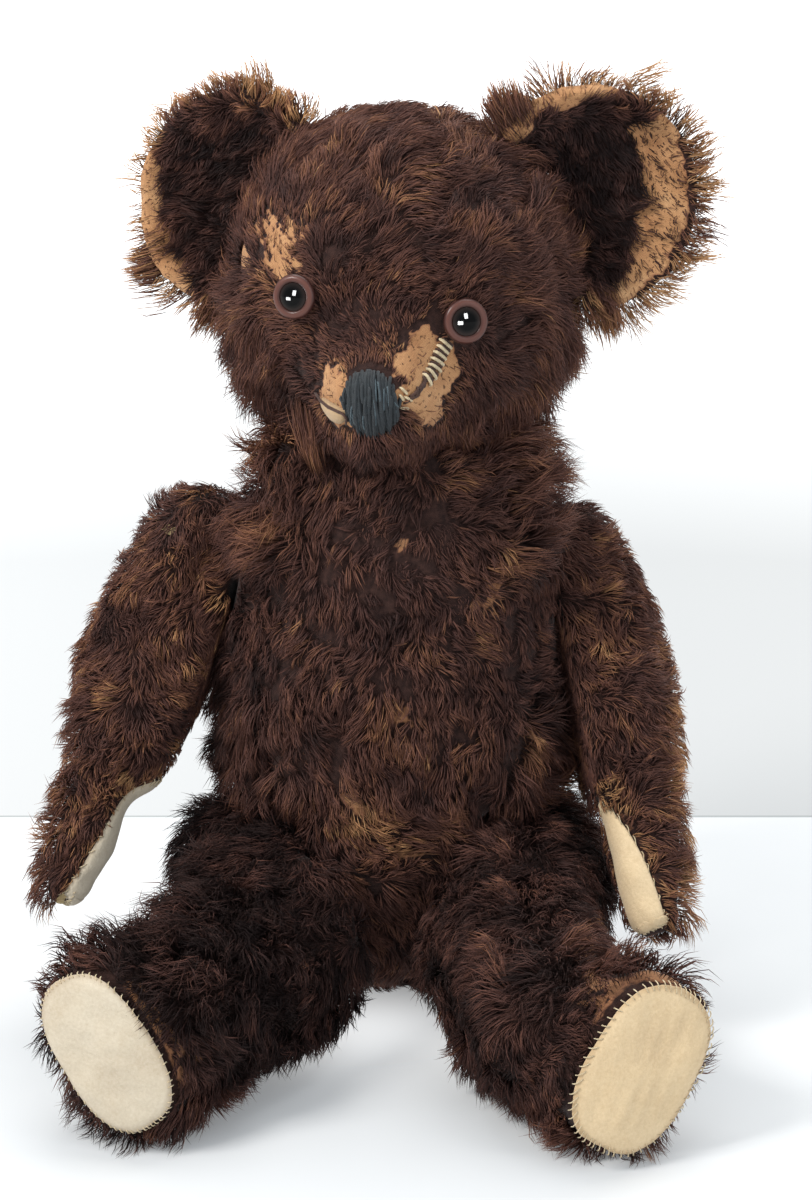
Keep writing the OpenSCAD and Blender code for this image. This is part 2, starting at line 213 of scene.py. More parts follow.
def puff(ob, pin, pressure, cap, frames=20):
    """Cloth under pressure from inside: pulls the surface taut with soft lumps. pin is 0..1 per point, cap in mm."""
    me = ob.data
    start = get_co(me)
    vg = ob.vertex_groups.new(name="pin")
    for i in np.nonzero(pin > 0.02)[0]:
        vg.add([int(i)], float(min(1.0, pin[i])), "REPLACE")
    c = ob.modifiers.new("Cloth", "CLOTH")
    s = c.settings
    s.quality = 4
    s.mass = 0.2
    s.tension_stiffness = s.compression_stiffness = 14
    s.shear_stiffness = 8
    s.bending_stiffness = 0.8
    s.use_pressure = True
    s.uniform_pressure_force = pressure
    s.vertex_group_mass = "pin"
    s.effector_weights.gravity = 0
    c.collision_settings.use_collision = False
    c.point_cache.frame_start, c.point_cache.frame_end = 1, frames
    for f in range(1, frames + 1):
        scene.frame_set(f)
    dg = bpy.context.evaluated_depsgraph_get()
    ev = ob.evaluated_get(dg).data
    co = get_co(ev)
    ob.modifiers.clear()
    ob.vertex_groups.clear()
    scene.frame_set(1)
    d = co - start
    ln = np.linalg.norm(d, axis=1, keepdims=True)
    d *= np.minimum(1, cap / np.maximum(ln, 1e-9))
    d[~np.isfinite(d).all(axis=1)] = 0
    set_co(me, start + d)
    return ob


def subdivide(ob, levels=1):
    m = ob.modifiers.new("s", "SUBSURF")
    m.levels = m.render_levels = levels
    m.subdivision_type = "CATMULL_CLARK"
    return evaluated(ob)


def tube(points, radius, sides=6, taper=None):
    """Points and faces of a closed round thread along points (mm)."""
    P = np.asarray(points, float)
    n = len(P)
    T = unit(np.gradient(P, axis=0))
    up = np.array([0.0, 0, 1]) if abs(T[0][2]) < 0.9 else np.array([1.0, 0, 0])
    co, fs = [], []
    u = unit(np.cross(T[0], up))
    for i in range(n):
        u = unit(u - T[i] * (u @ T[i]))
        w = np.cross(T[i], u)
        r = radius * (taper[i] if taper is not None else 1)
        for k in range(sides):
            a = 2 * math.pi * k / sides
            co.append(P[i] + r * (math.cos(a) * u + math.sin(a) * w))
    for i in range(n - 1):
        for k in range(sides):
            a, b = i * sides + k, i * sides + (k + 1) % sides
            fs.append((a, b, b + sides, a + sides))
    co.append(P[0])
    co.append(P[-1])
    s, e = len(co) - 2, len(co) - 1
    for k in range(sides):
        fs.append((s, (k + 1) % sides, k))
        fs.append((e, (n - 1) * sides + k, (n - 1) * sides + (k + 1) % sides))
    return np.array(co), fs


def tubes(name, lines, radius, sides=6, taper=None):
    co, fs, n = [], [], 0
    for ln in lines:
        c, f = tube(ln, radius, sides, taper)
        co.append(c)
        fs += [tuple(i + n for i in x) for x in f]
        n += len(c)
    return make_mesh(name, np.vstack(co), fs)


def set_attr(ob, name, values):
    a = ob.data.attributes.get(name) or ob.data.attributes.new(name, "FLOAT", "POINT")
    a.data.foreach_set("value", np.asarray(values, np.float32))


# ------------------------------------------------------------------ materials
class Mat:
    def __init__(self, name):
        self.m = bpy.data.materials.new(name)
        self.m.use_nodes = True
        self.t = self.m.node_tree
        self.b = next(n for n in self.t.nodes if n.type == "BSDF_PRINCIPLED")

    def n(self, kind, **kw):
        x = self.t.nodes.new(kind)
        for k, v in kw.items():
            if k.startswith("i_"):
                x.inputs[k[2:].replace("_", " ")].default_value = v
            else:
                setattr(x, k, v)
        return x

    def l(self, a, b):
        self.t.links.new(a, b)

    def ramp(self, fac, stops, interp="LINEAR"):
        r = self.n("ShaderNodeValToRGB")
        r.color_ramp.interpolation = interp
        el = r.color_ramp.elements
        while len(el) < len(stops):
            el.new(0.5)
        for e, (p, c) in zip(el, stops):
            e.position = p
            e.color = (*c, 1) if len(c) == 3 else c
        self.l(fac, r.inputs["Fac"])
        return r.outputs["Color"]

    def mix(self, fac, a, b, kind="MIX"):
        x = self.n("ShaderNodeMix", data_type="RGBA", blend_type=kind)
        for sock, v in ((x.inputs[0], fac), (x.inputs[6], a), (x.inputs[7], b)):
            if hasattr(v, "type") and hasattr(v, "is_output"):
                self.l(v, sock)
            else:
                sock.default_value = v if isinstance(v, (int, float)) else (*v, 1) if len(v) == 3 else v
        return x.outputs[2]

    def math(self, op, a, b=None, clamp=False):
        x = self.n("ShaderNodeMath", operation=op, use_clamp=clamp)
        for i, v in enumerate((a, b)):
            if v is None:
                continue
            if hasattr(v, "is_output"):
                self.l(v, x.inputs[i])
            else:
                x.inputs[i].default_value = v
        return x.outputs[0]

    def noise(self, scale, detail=3.0, rough=0.55, vec=None, out="Fac"):
        x = self.n("ShaderNodeTexNoise")
        x.inputs["Scale"].default_value = scale
        x.inputs["Detail"].default_value = detail
        x.inputs["Roughness"].default_value = rough
        self.l(vec if vec is not None else self.obj(), x.inputs["Vector"])
        return x.outputs[out]

    def obj(self):
        if not hasattr(self, "_o"):
            self._o = self.n("ShaderNodeTexCoord").outputs["Object"]
        return self._o

    def attr(self, name):
        return self.n("ShaderNodeAttribute", attribute_name=name).outputs["Fac"]

    def set(self, **kw):
        for k, v in kw.items():
            k = k.replace("_", " ")
            if hasattr(v, "is_output"):
                self.l(v, self.b.inputs[k])
            else:
                self.b.inputs[k].default_value = v
        return self

    def bump(self, height, strength, dist):
        x = self.n("ShaderNodeBump")
        x.inputs["Strength"].default_value = strength
        x.inputs["Distance"].default_value = dist
        self.l(height, x.inputs["Height"])
        self.l(x.outputs["Normal"], self.b.inputs["Normal"])
        return self

    def weave(self, pitch_mm):
        """Plain weave height, 0..1, in all three directions of the object."""
        s = self.n("ShaderNodeSeparateXYZ")
        self.l(self.obj(), s.inputs[0])
        k = 2 * math.pi / (pitch_mm / 1000)
        waves = [self.math("SINE", self.math("MULTIPLY", s.outputs[i], k)) for i in range(3)]
        a = self.math("MULTIPLY", waves[0], waves[2])
        b = self.math("MULTIPLY", waves[1], waves[2])
        c = self.math("MAXIMUM", a, b)
        return self.math("ADD", self.math("MULTIPLY", c, 0.5), 0.5)


def fur_material():
    m = Mat("mohair_pile")
    uv = m.n("ShaderNodeUVMap", uv_map=UV).outputs["UV"]
    s = m.n("ShaderNodeSeparateXYZ")
    m.l(uv, s.inputs[0])
    tone, along = s.outputs[0], s.outputs[1]
    col = m.ramp(tone, [
        (0.00, (0.012, 0.0070, 0.0072)),
        (0.20, (0.034, 0.0175, 0.0158)),
        (0.40, (0.084, 0.0390, 0.0325)),
        (0.60, (0.136, 0.0610, 0.0450)),
        (0.75, (0.225, 0.1030, 0.0590)),
        (0.88, (0.350, 0.1800, 0.0860)),
        (1.00, (0.520, 0.3050, 0.1500)),
    ])
    # painted shade: each hair is darker at the root, where the pile shades itself, and brighter towards the tip
    shade = m.ramp(along, [(0.0, (0.42, 0.40, 0.41)), (0.40, (0.82, 0.80, 0.80)), (1.0, (1.28, 1.20, 1.10))])
    col = m.mix(1.0, col, shade, "MULTIPLY")
    m.set(Base_Color=col, Roughness=0.62, Specular_IOR_Level=0.16, Sheen_Weight=0.0)
    return m.m


def cloth_material():
    """Woven backing: painted dark under the pile as the shade between the hairs, rubbed to bare tan where the pile has
    gone.
    """
    m = Mat("mohair_backing")
    bald = m.attr("bald")
    n1 = m.noise(70, 4, 0.6)
    n2 = m.noise(420, 3, 0.6)
    tan = m.ramp(n1, [(0.30, (0.37, 0.175, 0.078)), (0.55, (0.53, 0.285, 0.135)), (0.75, (0.64, 0.38, 0.195))])
    w = m.weave(0.85)
    tan = m.mix(m.math("MULTIPLY", w, 0.36), tan, (0.22, 0.100, 0.042))
    specks = m.ramp(m.noise(700, 2, 0.5), [(0.60, (0, 0, 0)), (0.67, (1, 1, 1))])
    tan = m.mix(m.math("MULTIPLY", specks, 0.8), tan, (0.050, 0.022, 0.014))
    # painted shade: the cloth under the pile is dark so that the gaps between the hairs read as shadow
    dark = m.ramp(n2, [(0.35, (0.018, 0.0085, 0.0072)), (0.7, (0.046, 0.0215, 0.017))])
    edge = m.math("ADD", bald, m.math("MULTIPLY", m.math("SUBTRACT", n2, 0.5), 0.5))
    thin = m.ramp(edge, [(0.55, (1, 1, 1)), (1.0, (0, 0, 0))])
    tan = m.mix(m.math("MULTIPLY", thin, 0.75), tan, (0.23, 0.095, 0.052))
    fac = m.ramp(edge, [(0.36, (0, 0, 0)), (0.58, (1, 1, 1))])
    m.set(Base_Color=m.mix(fac, dark, tan), Roughness=0.92, Specular_IOR_Level=0.12, Sheen_Weight=0.1)
    m.bump(m.math("ADD", m.math("MULTIPLY", w, 0.6), n2), 0.6, 0.0004)
    return m.m


def felt_material(name, gain):
    m = Mat(name)
    n1 = m.noise(38, 4, 0.6)
    n2 = m.noise(900, 4, 0.7)
    n3 = m.noise(150, 3, 0.6)
    g = np.array(gain)

    def c(*v):
        return tuple(float(x) for x in np.array(v) * g)
    col = m.ramp(n1, [(0.25, c(0.56, 0.455, 0.315)), (0.5, c(0.66, 0.56, 0.40)), (0.75, c(0.73, 0.64, 0.48))])
    col = m.mix(m.math("MULTIPLY", m.ramp(n3, [(0.52, (0, 0, 0)), (0.72, (1, 1, 1))]), 0.30), col, c(0.47, 0.345, 0.20))
    col = m.mix(0.30, col, m.ramp(n2, [(0.3, c(0.50, 0.41, 0.28)), (0.7, c(0.80, 0.72, 0.56))]))
    rim = m.attr("rim")
    col = m.mix(m.math("MULTIPLY", rim, 0.38), col, c(0.34, 0.225, 0.125))
    m.set(Base_Color=col, Roughness=0.95, Specular_IOR_Level=0.08, Sheen_Weight=0.2)
    m.bump(m.math("ADD", n2, m.math("MULTIPLY", n3, 1.2)), 0.55, 0.0005)
    return m.m


def thread_material(name, a, b, rough=0.6):
    m = Mat(name)
    n1 = m.noise(500, 3, 0.6)
    w = m.n("ShaderNodeTexWave", wave_type="BANDS", bands_direction="DIAGONAL")
    w.inputs["Scale"].default_value = 900
    w.inputs["Distortion"].default_value = 2.0
    m.l(m.obj(), w.inputs["Vector"])
    col = m.ramp(m.math("ADD", m.math("MULTIPLY", n1, 0.7), m.math("MULTIPLY", w.outputs["Fac"], 0.3)), [(0.3, a), (0.7, b)])
    m.set(Base_Color=col, Roughness=rough, Specular_IOR_Level=0.35, Sheen_Weight=0.1)
    m.bump(w.outputs["Fac"], 0.5, 0.0002)
    return m.m


def plain_material(name, stops, scale, rough=(0.4, 0.6), metallic=0.0, bump=(0.3, 0.0002), detail=4, stretch=None):
    m = Mat(name)
    vec = None
    if stretch:
        mp = m.n("ShaderNodeMapping")
        mp.inputs["Scale"].default_value = stretch
        m.l(m.obj(), mp.inputs["Vector"])
        vec = mp.outputs["Vector"]
    n1 = m.noise(scale, detail, 0.6, vec)
    n2 = m.noise(scale * 6, 3, 0.6, vec)
    m.set(Base_Color=m.ramp(n1, stops), Metallic=metallic)
    r = m.n("ShaderNodeMapRange")
    m.l(n2, r.inputs["Value"])
    r.inputs["To Min"].default_value, r.inputs["To Max"].default_value = rough
    m.set(Roughness=r.outputs["Result"])
    m.bump(n2, *bump)
    return m.m


FUR = fur_material()
CLOTH = cloth_material()
FELT = {"right": felt_material("wool_felt_right", (0.86, 0.86, 0.90)), "left": felt_material("wool_felt_left", (1.01, 0.89, 0.75))}
NOSE_THREAD = thread_material("nose_thread", (0.0100, 0.0120, 0.0138), (0.023, 0.0300, 0.0345), 0.62)
# lighter thread colour: painted highlights on the nose's satin stitches
NOSE_SHINE = thread_material("nose_thread_rubbed", (0.028, 0.040, 0.047), (0.075, 0.105, 0.120), 0.55)
CREAM_THREAD = thread_material("cream_thread", (0.42, 0.32, 0.19), (0.70, 0.58, 0.38), 0.8)
BROWN_THREAD = thread_material("brown_thread", (0.030, 0.012, 0.008), (0.085, 0.036, 0.022), 0.7)
DARK_THREAD = thread_material("dark_thread", (0.012, 0.010, 0.010), (0.05, 0.045, 0.04), 0.65)
WOOL = plain_material("wood_wool", [(0.3, (0.30, 0.19, 0.075)), (0.5, (0.55, 0.40, 0.19)), (0.7, (0.72, 0.57, 0.32))], 260, (0.7, 0.95), 0, (0.9, 0.001), 5, (1, 1, 4))
BOARD = plain_material("fibreboard", [(0.3, (0.13, 0.075, 0.04)), (0.55, (0.26, 0.16, 0.085)), (0.75, (0.36, 0.24, 0.13))], 300, (0.75, 0.95), 0, (0.5, 0.0003))
STEEL = plain_material("pin_steel", [(0.3, (0.28, 0.27, 0.26)), (0.6, (0.50, 0.49, 0.48)), (0.8, (0.30, 0.20, 0.13))], 220, (0.28, 0.55), 1.0, (0.2, 0.0001))
NYLON = plain_material("nylon", [(0.3, (0.62, 0.61, 0.56)), (0.7, (0.78, 0.77, 0.72))], 300, (0.4, 0.55), 0, (0.15, 0.0001))


def eye_ring_material():
    m = Mat("eye_ring")
    n1 = m.noise(450, 3, 0.5)
    rad = m.attr("radial")
    # the ring is darker at its inner and outer edges; the dark outer edge is painted shadow round the ring
    col = m.ramp(rad, [(0.0, (0.045, 0.017, 0.013)), (0.25, (0.100, 0.037, 0.027)), (0.80, (0.112, 0.042, 0.031)), (1.0, (0.035, 0.012, 0.010))])
    col = m.mix(m.math("MULTIPLY", n1, 0.25), col, (0.075, 0.026, 0.019))
    m.set(Base_Color=col, Roughness=0.34, Specular_IOR_Level=0.25, Coat_Weight=0.10, Coat_Roughness=0.15)
    return m.m


def pupil_material():
    m = Mat("eye_pupil")
    n1 = m.noise(350, 3, 0.5)
    rad = m.attr("radial")
    col = m.ramp(rad, [(0.0, (0.0022, 0.002, 0.002)), (0.62, (0.003, 0.0028, 0.0028)), (0.85, (0.014, 0.011, 0.010)), (1.0, (0.034, 0.022, 0.019))])
    m.set(Base_Color=col, Roughness=0.045, Specular_IOR_Level=0.11)
    m.bump(n1, 0.012, 0.0002)
    return m.m


RING, PUPIL = eye_ring_material(), pupil_material()


def dress(ob, mat, body, slot=None, *replaces):
    ob.data.materials.clear()
    ob.data.materials.append(mat)
    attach(ob, body)
    if replaces:
        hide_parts(*replaces)
    return ob


# ------------------------------------------------------------------ places, all from the frame
def centre(node):
    lo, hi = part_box(node)
    return np.array((lo + hi) / 2) * 1000


def jpos(name):
    return np.array(JOINT[name]["pos_m"]) * 1000


def jaxis(name):
    return unit(np.array(JOINT[name]["axis"]))


EYE = {s: centre(f"{s}_eye_iris") for s in ("left", "right")}
NOSE = centre("nose_stitching")
NECK, NECK_AX = jpos("neck_turn"), jaxis("neck_turn")
if NECK_AX[2] < 0:
    NECK_AX = -NECK_AX
head_side = unit(EYE["left"] - EYE["right"])          # towards the bear's left
HEAD_FWD = unit(np.cross(NECK_AX, head_side))
if (NOSE - NECK) @ HEAD_FWD < 0:
    HEAD_FWD = -HEAD_FWD
HEAD_SIDE = unit(np.cross(HEAD_FWD, NECK_AX))
if HEAD_SIDE @ head_side < 0:
    HEAD_SIDE = -HEAD_SIDE
HEAD_C = centre("head_skin")
TORSO_C = centre("torso_skin")
FOOT = {s: centre(f"{s}_foot_pad") for s in ("left", "right")}
PAW = {s: centre(f"{s}_paw_pad") for s in ("left", "right")}


def plane(joint, child_centre, gap=0.6):
    """(point on the limb's joint face, unit normal pointing into the limb)."""
    p, a = jpos(joint), jaxis(joint)
    if (child_centre - p) @ a < 0:
        a = -a
    return p + a * gap, a


PLANES = {
    "head": plane("neck_turn", HEAD_C),
    "left_arm": plane("left_shoulder_swing", centre("left_arm_skin")),
    "right_arm": plane("right_shoulder_swing", centre("right_arm_skin")),
    "left_leg": plane("left_hip_swing", centre("left_leg_skin")),
    "right_leg": plane("right_hip_swing", centre("right_leg_skin")),
}
JOINT_OF = {"head": "neck_turn", "left_arm": "left_shoulder_swing", "right_arm": "right_shoulder_swing", "left_leg": "left_hip_swing", "right_leg": "right_hip_swing"}


def face_free(P, body):
    """0 on a joint's flat face, 1 away from it, so that the boards stay covered."""
    if body == "torso":
        w = np.ones(len(P))
        for limb in PLANES:
            p, n = PLANES[limb]
            j = jpos(JOINT_OF[limb])
            d = -((P - (j - n * 0.6)) @ n)            # depth inside the torso
            rad = np.linalg.norm((P - j) - ((P - j) @ n)[:, None] * n, axis=1)
            w = np.minimum(w, np.maximum(smooth(d, 0.5, 9), smooth(rad, 34, 48)))
        return w
    p, n = PLANES[body]
    return smooth((P - p) @ n, 0.5, 9)


# ------------------------------------------------------------------ cloth bodies
def cloth_body(name, body, nodes, voxel, inset, pressure, cap, seed, lump=0.8, levels=1):
    ob = solid(name, nodes, voxel)
    co, ed = get_co(ob.data), get_edges(ob.data)
    free = face_free(co, body)
    co = relax(co, ed, 6, 0.5, free)
    set_co(ob.data, co)
    no = get_normals(ob.data)
    less = 3.2 * smooth(co[:, 2], 160, 182) * smooth(np.abs(co[:, 0]), 24, 42) if body == "torso" else 2.2 * smooth((co - NECK) @ NECK_AX, 86, 104) if body == "head" else 0
    co = co - no * ((inset - less) * free + 0.15)[:, None]
    set_co(ob.data, co)
    co = relax(co, ed, 4, 0.5, free)
    set_co(ob.data, co)
    puff(ob, 1 - free, pressure, cap)
    co = get_co(ob.data)
    no = get_normals(ob.data)
    lumps = noise(co, 34, seed) * 0.6 + noise(co, 15, seed + 1) * 0.35
    co = co + no * (lump * lumps * free)[:, None]
    co = relax(co, ed, 2, 0.4, free)
    set_co(ob.data, co)
    subdivide(ob, levels)
    return ob


BODY_CLOTH = {}
BODY_CLOTH["torso"] = cloth_body("torso_cloth", "torso", ["torso_skin", "torso_stuffing", "neck_torso_disc", "neck_torso_washer", "left_shoulder_disc", "right_shoulder_disc", "left_hip_disc", "right_hip_disc", "left_hip_washer", "right_hip_washer", "left_shoulder_washer", "right_shoulder_washer"], 4.4, 3.6, 3.0, 3.0, 11, 1.0)
BODY_CLOTH["head"] = cloth_body("head_cloth", "head", ["head_skin", "head_stuffing", "neck_head_disc", "neck_head_washer"], 3.4, 3.4, 2.5, 2.0, 23, 0.7, 2)
for side in ("left", "right"):
    BODY_CLOTH[f"{side}_arm"] = cloth_body(f"{side}_arm_cloth", f"{side}_arm", [f"{side}_arm_skin", f"{side}_arm_stuffing", f"{side}_arm_disc", f"{side}_arm_washer"], 3.4, 3.4, 2.5, 2.2, 31 if side == "left" else 47, 0.9)
    BODY_CLOTH[f"{side}_leg"] = cloth_body(f"{side}_leg_cloth", f"{side}_leg", [f"{side}_leg_skin", f"{side}_leg_stuffing", f"{side}_leg_disc", f"{side}_leg_washer"], 3.8, 3.4, 2.5, 2.4, 59 if side == "left" else 71, 0.9)

TREES = {}


def tree(ob):
    bm = bmesh.new()
    bm.from_mesh(ob.data)
    t = bvhtree.BVHTree.FromBMesh(bm)
    bm.free()
    return t


def drop(body, P, D, lift=0.0):
    """Points P (mm) thrown along D onto a body's cloth, then lifted off it; returns points and normals."""
    if body not in TREES:
        TREES[body] = tree(BODY_CLOTH[body])
    t = TREES[body]
    out, nor = [], []
    for p, d in zip(np.atleast_2d(P), np.atleast_2d(D)):
        loc, no, _, _ = t.ray_cast(Vector(p / 1000), Vector(d))
        if loc is None:
            loc, no, _, _ = t.find_nearest(Vector(p / 1000))
        no = np.array(no)
        out.append(np.array(loc) * 1000 + no * lift)
        nor.append(no)
    return np.array(out), np.array(nor)


def on_cloth(body, P, lift=0.0):
    if body not in TREES:
        TREES[body] = tree(BODY_CLOTH[body])
    t = TREES[body]
    out, nor = [], []
    for p in np.atleast_2d(P):
        loc, no, _, _ = t.find_nearest(Vector(p / 1000))
        no = np.array(no)
        out.append(np.array(loc) * 1000 + no * lift)
        nor.append(no)
    return np.array(out), np.array(nor)


# ------------------------------------------------------------------ worn patches
def outline_distance(x, z, outline):
    """Distance in mm from a closed outline, less than 0 inside it."""
    V = np.asarray(outline, float)
    best, inside = np.full(len(x), 1e9), np.zeros(len(x), bool)
    for (ax, az), (bx, bz) in zip(V, np.roll(V, -1, 0)):
        ex, ez = bx - ax, bz - az
        t = np.clip(((x - ax) * ex + (z - az) * ez) / (ex * ex + ez * ez + 1e-12), 0, 1)
        best = np.minimum(best, np.hypot(x - ax - t * ex, z - az - t * ez))
        if abs(ez) > 1e-9:
            inside ^= ((az > z) != (bz > z)) & (x < ax + (z - az) * ex / ez)
    return np.where(inside, -best, best)


# outlines of bare cloth: x and z in mm from the nose's centre
FACE_BARE = [
    [(19.2, 23.1), (21.9, 19.8), (23.8, 17.7), (27.8, 16.2), (30.0, 11.9), (31.0, 7.1), (29.5, 2.9), (27.8, 1.0), (25.8, -2.3), (24.5, -5.9), (25.2, -10.2), (21.3, -12.3), (17.9, -10.5), (14.0, -7.6), (10.8, -4.5), (9.1, -2.5), (8.2, 2.7), (11.4, 5.7), (7.6, 7.8), (6.3, 10.2), (7.6, 12.5), (10.8, 14.5), (12.7, 17.6), (15.3, 20.6)],
    [(-15.4, 8.6), (-11.8, 9.6), (-9.4, 7.6), (-7.0, 4.9), (-6.8, 1.7), (-7.0, -1.9), (-6.4, -8.5), (-8.4, -11.4), (-12.8, -11.0), (-16.0, -7.3), (-17.6, -3.6), (-17.2, 1.4), (-17.0, 5.8)],
    [(-50.2, 40.5), (-48.0, 44.8), (-43.6, 43.4), (-42.0, 39.2), (-43.4, 34.6), (-48.2, 34.8)],
]
BROW_BARE = [(-42.0, 52.0), (-33.7, 56.5), (-27.4, 55.4), (-21.6, 52.8), (-22.6, 49.4), (-26.4, 47.3), (-25.7, 44.6), (-22.3, 42.2), (-24.3, 38.6), (-27.6, 35.3), (-27.2, 31.0), (-32.6, 29.0), (-36.7, 38.2), (-38.3, 44.4), (-41.0, 47.7)]
# x from the middle, z above the seat, half sizes and turn
TORSO_BARE = [(-14.8, 88.4, 6.2, 3.6, -20), (3.6, 70.0, 5.0, 4.0, 15), (1.9, 121.3, 4.2, 3.6, 0), (33.9, 162.0, 4.6, 6.0, 20), (43.7, 57.7, 2.6, 4.0, 20), (62.8, 159.5, 2.2, 4.0, 0), (1.9, 183.4, 2.0, 1.6, 0)]


def bald_mask(P, N, body):
    """1 in the middle of a bare patch, 0 outside; ragged at the edge."""
    m = np.zeros(len(P))
    if body == "head":
        front = smooth(-(N[:, 1]), -0.15, 0.2)
        x, z = P[:, 0] - NOSE[0], P[:, 2] - NOSE[2]
        near = np.nonzero((x > -58) & (x < 42) & (z > -20) & (z < 68) & (front > 0))[0]
        xn, zn, Pn = x[near], z[near], P[near]
        rag = 0.9 * noise(Pn, 6, 5) + 0.6 * noise(Pn, 2.6, 6)
        v = np.zeros(len(near))
        for line in FACE_BARE:
            v = np.maximum(v, 1 - smooth(outline_distance(xn, zn, line) + rag * 0.7, -0.9, 0.7))
        # the brow patch is streaky: locks of pile still cross it
        Q = np.stack([xn + 0.25 * zn, zn * 0.28, np.zeros(len(xn))], 1)
        streak = noise(Q, 2.6, 7) + 0.8 * noise(Pn, 2.0, 9)
        v = np.maximum(v, (1 - smooth(outline_distance(xn, zn, BROW_BARE) + rag, -1.2, 1.0)) * smooth(streak, -1.15, -0.35))
        m[near] = v * front[near]
    elif body == "torso":
        front = smooth(-(N[:, 1]), 0.0, 0.3)
        rag = 0.34 * noise(P, 6, 8) + 0.25 * noise(P, 2.6, 18)
        for x, z, a, b, turn in TORSO_BARE:
            t = math.radians(turn)
            dx, dz = P[:, 0] - x, P[:, 2] - z
            u, v = dx * math.cos(t) + dz * math.sin(t), -dx * math.sin(t) + dz * math.cos(t)
            r = np.sqrt((u / a) ** 2 + (v / b) ** 2) + rag
            m = np.maximum(m, (1 - smooth(r, 0.55, 1.15)) * front)
    return m


# ------------------------------------------------------------------ fur
def sample(ob, per_mm2, seed):
    me = ob.data
    me.calc_loop_triangles()
    tri = np.zeros(len(me.loop_triangles) * 3, int)
    me.loop_triangles.foreach_get("vertices", tri)
    tri = tri.reshape(-1, 3)
    co, no = get_co(me), get_normals(me)
    a, b, c = co[tri[:, 0]], co[tri[:, 1]], co[tri[:, 2]]
    area = np.linalg.norm(np.cross(b - a, c - a), axis=1) / 2
    r = np.random.default_rng(seed)
    n = int(area.sum() * per_mm2)
    pick = np.searchsorted(np.cumsum(area) / area.sum(), (np.arange(n) + r.random(n)) / n)
    pick = np.clip(pick, 0, len(tri) - 1)
    u, v = r.random(n), r.random(n)
    f = u + v > 1
    u[f], v[f] = 1 - u[f], 1 - v[f]
    w = np.stack([1 - u - v, u, v], 1)
    P = np.einsum("nk,nkd->nd", w, co[tri[pick]])
    N = unit(np.einsum("nk,nkd->nd", w, no[tri[pick]]))
    return P, N, r


def clumped(P, size, seed):
    """Group number of each point: ragged cells about size mm across."""
    r = np.random.default_rng(seed)
    warp = np.stack([noise(P, size * 2.3, seed + i) for i in range(3)], 1) * size * 0.45
    q = np.floor((P + warp + r.uniform(0, size, 3)) / size).astype(np.int64)
    key = (q[:, 0] * 73856093) ^ (q[:, 1] * 19349663) ^ (q[:, 2] * 83492791)
    _, inv = np.unique(key, return_inverse=True)
    return inv.ravel()


def group_mean(v, g, n):
    cnt = np.maximum(np.bincount(g, minlength=n), 1)
    return np.stack([np.bincount(g, v[:, k], n) / cnt for k in range(v.shape[1])], 1)


def fur(name, body, ob, per_mm2, seed, flow, length, lift=0.40, tone=None, density=None, swirl=(34, 44, 12, 30), clump=(2.1, 0.55, 6.5, 0.22), width=0.19, keep_in=None, floor=True, curl=0.30, turn=None, droop=0.10):
    """Pile as thin closed tapering hairs. Returns the pieces made."""
    P, N, r = sample(ob, per_mm2, seed)
    seen = 0.70 + 0.30 * smooth(-N[:, 1], -0.35, 0.15)       # a little thinner at the back
    if density is not None:
        seen = seen * density(P, N)
    keep = r.random(len(P)) < seen
    P, N = P[keep], N[keep]
    n = len(P)
    d = flow(P, N)
    t = unit(d - (d * N).sum(1)[:, None] * N)
    s = np.cross(N, t)
    calm = 1.0 if turn is None else turn(P)
    ang = np.radians((swirl[1] * noise(P, swirl[0], seed + 11) + swirl[3] * noise(P, swirl[2], seed + 12)) * calm + r.normal(0, 10, n))
    t = t * np.cos(ang)[:, None] + s * np.sin(ang)[:, None]
    s = np.cross(N, t)
    if callable(lift):
        lift = lift(P, N)
    up = np.clip(lift + 0.16 * noise(P, 11, seed + 13) + r.normal(0, 0.09, n), 0.08, 0.95)
    L = length(P, N) * np.clip(1 + 0.16 * noise(P, 9, seed + 14) + r.normal(0, 0.16, n), 0.4, 1.65)
    bend = s * (curl * noise(P, 4.5, seed + 15) + r.normal(0, 0.16, n))[:, None]
    down = np.array([0, 0, -droop])
    d0 = unit(N * (up + 0.45)[:, None] + t * (1 - up)[:, None])
    d1 = unit(N * (up * 0.9)[:, None] + t * (1.12 - up)[:, None] + bend + down)
    d2 = unit(N * (up * 0.5)[:, None] + t * (1.25 - up)[:, None] + bend * 2.3 + down * 2 + r.normal(0, 0.12, (n, 3)))
    A = P - N * 0.6
    B = P + d0 * (L * 0.28)[:, None]
    C = B + d1 * (L * 0.38)[:, None]
    D = C + d2 * (L * 0.40)[:, None]
    shade = np.zeros(n)
    for size, pull, sd in ((clump[2], clump[3], 0.035), (clump[0], clump[1], 0.070)):
        g = clumped(P, size, seed + int(size * 10))
        k = g.max() + 1
        tilt = r.normal(0, 0.20, (k, 3)) * size * 0.55
        mb, mc, md = group_mean(B, g, k), group_mean(C, g, k), group_mean(D, g, k)
        B = B + (mb[g] - B) * (pull * 0.22)
        C = C + ((mc + tilt * 0.5)[g] - C) * (pull * 0.68)
        D = D + ((md + tilt)[g] - D) * pull
        lock = r.normal(0, sd, k)
        lock[r.random(k) < 0.05] += 0.13
        shade += lock[g]
    tn = np.full(n, 0.40)
    if tone is not None:
        tn = tone(P, N, D)
    tn = tn + 0.07 * noise(P, 12, seed + 21) + shade + r.normal(0, 0.045, n)
    tn = np.clip(tn, 0.02, 0.97)
    if keep_in is not None:
        B, C, D = keep_in(B), keep_in(C), keep_in(D)
    if floor:
        for Q, h in ((A, 0.15), (B, 0.35), (C, 0.3), (D, 0.3)):
            low = Q[:, 2] < h
            Q[low, 2] = h + 0.15 * r.random(low.sum())
    return hairs(name, body, A, B, C, D, tn, width, r)


